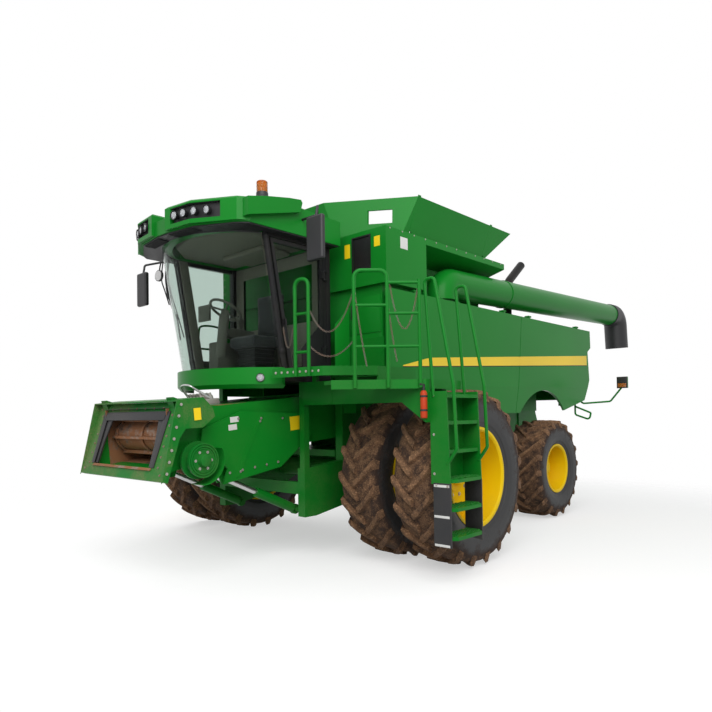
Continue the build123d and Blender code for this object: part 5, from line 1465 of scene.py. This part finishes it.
def makeExhaustPieces():
    end = bmesh.new()
    addTurned(end, exhaust["mouth"], exhaust["end"], exhaust["along"], 24)
    pieceFrom(end, "exhaustMouth", "satinBlack", "machine")
    clamp = bmesh.new()
    for z in exhaust["clampZ"]:
        addTurned(clamp, exhaust["clamp"], (*exhaust["clampAt"], z), (0, 0, 1), 28)
    pieceFrom(clamp, "exhaustClamps", "wornSteel", "machine")


# Rear of the hood: louvred panel, tail lamps, handles; and the screens over the engine.
rearSet = {"y": 5.290, "panel": ((-0.62, 2.36), (0.62, 2.84)), "slats": 9, "lampX": 1.32, "lampZ": 2.62,
           "lens": [(0.020, 0.056), (0.032, 0.054), (0.038, 0.040), (0.040, 0)], "gripX": (-0.90, 0.90),
           "grip": [(0.002, 2.46), (0.045, 2.48), (0.050, 2.52), (0.050, 2.72), (0.045, 2.76), (0.002, 2.78)],
           "boltZ": (2.28, 2.875)}
deckSet = {"top": 3.140, "y": (2.66, 3.80), "half": 0.68, "slats": 26}


def makeRearPieces():
    y = rearSet["y"]
    (x0, z0), (x1, z1) = rearSet["panel"]
    mesh = bmesh.new()
    low, high = (x0 - 0.05, y + 0.0005, z0 - 0.05), (x1 + 0.05, y + 0.012, z1 + 0.05)
    frameOf(mesh, low, high, (x0, z0), (x1, z1), bevel=0.004)
    pitch = (z1 - z0) / rearSet["slats"]
    for slat in range(rearSet["slats"]):
        z = z0 + pitch * slat
        outline = [(y + 0.0005, z + 0.006), (y + 0.0005, z + pitch - 0.006), (y + 0.014, z + 0.006)]
        addPrism(mesh, "x", outline, x0, x1, bevel=0.001)
    pieceFrom(mesh, "rearLouvres", "frameGreen", "machine")
    housing, red, amber = bmesh.new(), bmesh.new(), bmesh.new()
    for side in (1, -1):
        x, z = side * rearSet["lampX"], rearSet["lampZ"]
        addBlock(housing, (x - 0.075, y + 0.0005, z - 0.155), (x + 0.075, y + 0.022, z + 0.155), 0.010, 3)
        addTurned(red, rearSet["lens"], (x, y, z + 0.075), (0, 1, 0), 28)
        addTurned(amber, rearSet["lens"], (x, y, z - 0.075), (0, 1, 0), 28)
    for side in (1, -1):
        x0, x1 = sorted((side * 2.118, side * 2.302))
        addBlock(housing, (x0, 5.302, 2.078), (x1, 5.3098, 2.282), bevel=0.004)
        addBlock(amber, (x0 + 0.02, 5.296, 2.098), (x1 - 0.02, 5.303, 2.165), bevel=0.003)
        addBlock(red, (x0 + 0.02, 5.3502, 2.098), (x1 - 0.02, 5.356, 2.262), bevel=0.003)
    pieceFrom(housing, "tailLampHousings", "mouldedBlack", "machine")
    pieceFrom(red, "tailLampLenses", "redLens", "machine")
    pieceFrom(amber, "turnLampLenses", "amberLens", "machine")
    grips = [[(x, y + out, z) for out, z in rearSet["grip"]] for x in rearSet["gripX"]]
    bentBars("rearGrips", grips, 0.011, "satinBlack", "machine")
    rows = []
    for z in rearSet["boltZ"]:
        rows += lineOf(9, (-1.46, y + 0.0005, z), (1.46, y + 0.0005, z), (0, 1, 0))
    boltField("rearBolts", rows, 0.008, "machine")


def makeDeckPieces():
    top, half = deckSet["top"], deckSet["half"]
    y0, y1 = deckSet["y"]
    skin = top + 0.0005
    mesh = bmesh.new()
    pitch = (y1 - y0) / deckSet["slats"]
    for slat in range(deckSet["slats"]):
        y = y0 + pitch * slat
        outline = [(y + 0.004, skin), (y + pitch - 0.008, skin), (y + 0.004, top + 0.012)]
        addPrism(mesh, "x", outline, -half, half)
    rows = []
    for side in (-1, 1):
        x0, x1 = sorted((side * half, side * (half + 0.04)))
        addBlock(mesh, (x0, y0, skin), (x1, y1, top + 0.016), bevel=0.003)
        rows += lineOf(10, (side * 0.76, y0, skin), (side * 0.76, y1, skin), (0, 0, 1))
    pieceFrom(mesh, "engineGrille", "satinBlack", "machine")
    boltField("deckBolts", rows, 0.008, "machine")


makeTankPieces()
makeStripes()
makeRearPieces()
makeDeckPieces()
makeCoverSeals()
makeExhaustPieces()
print("tank and deck ready")
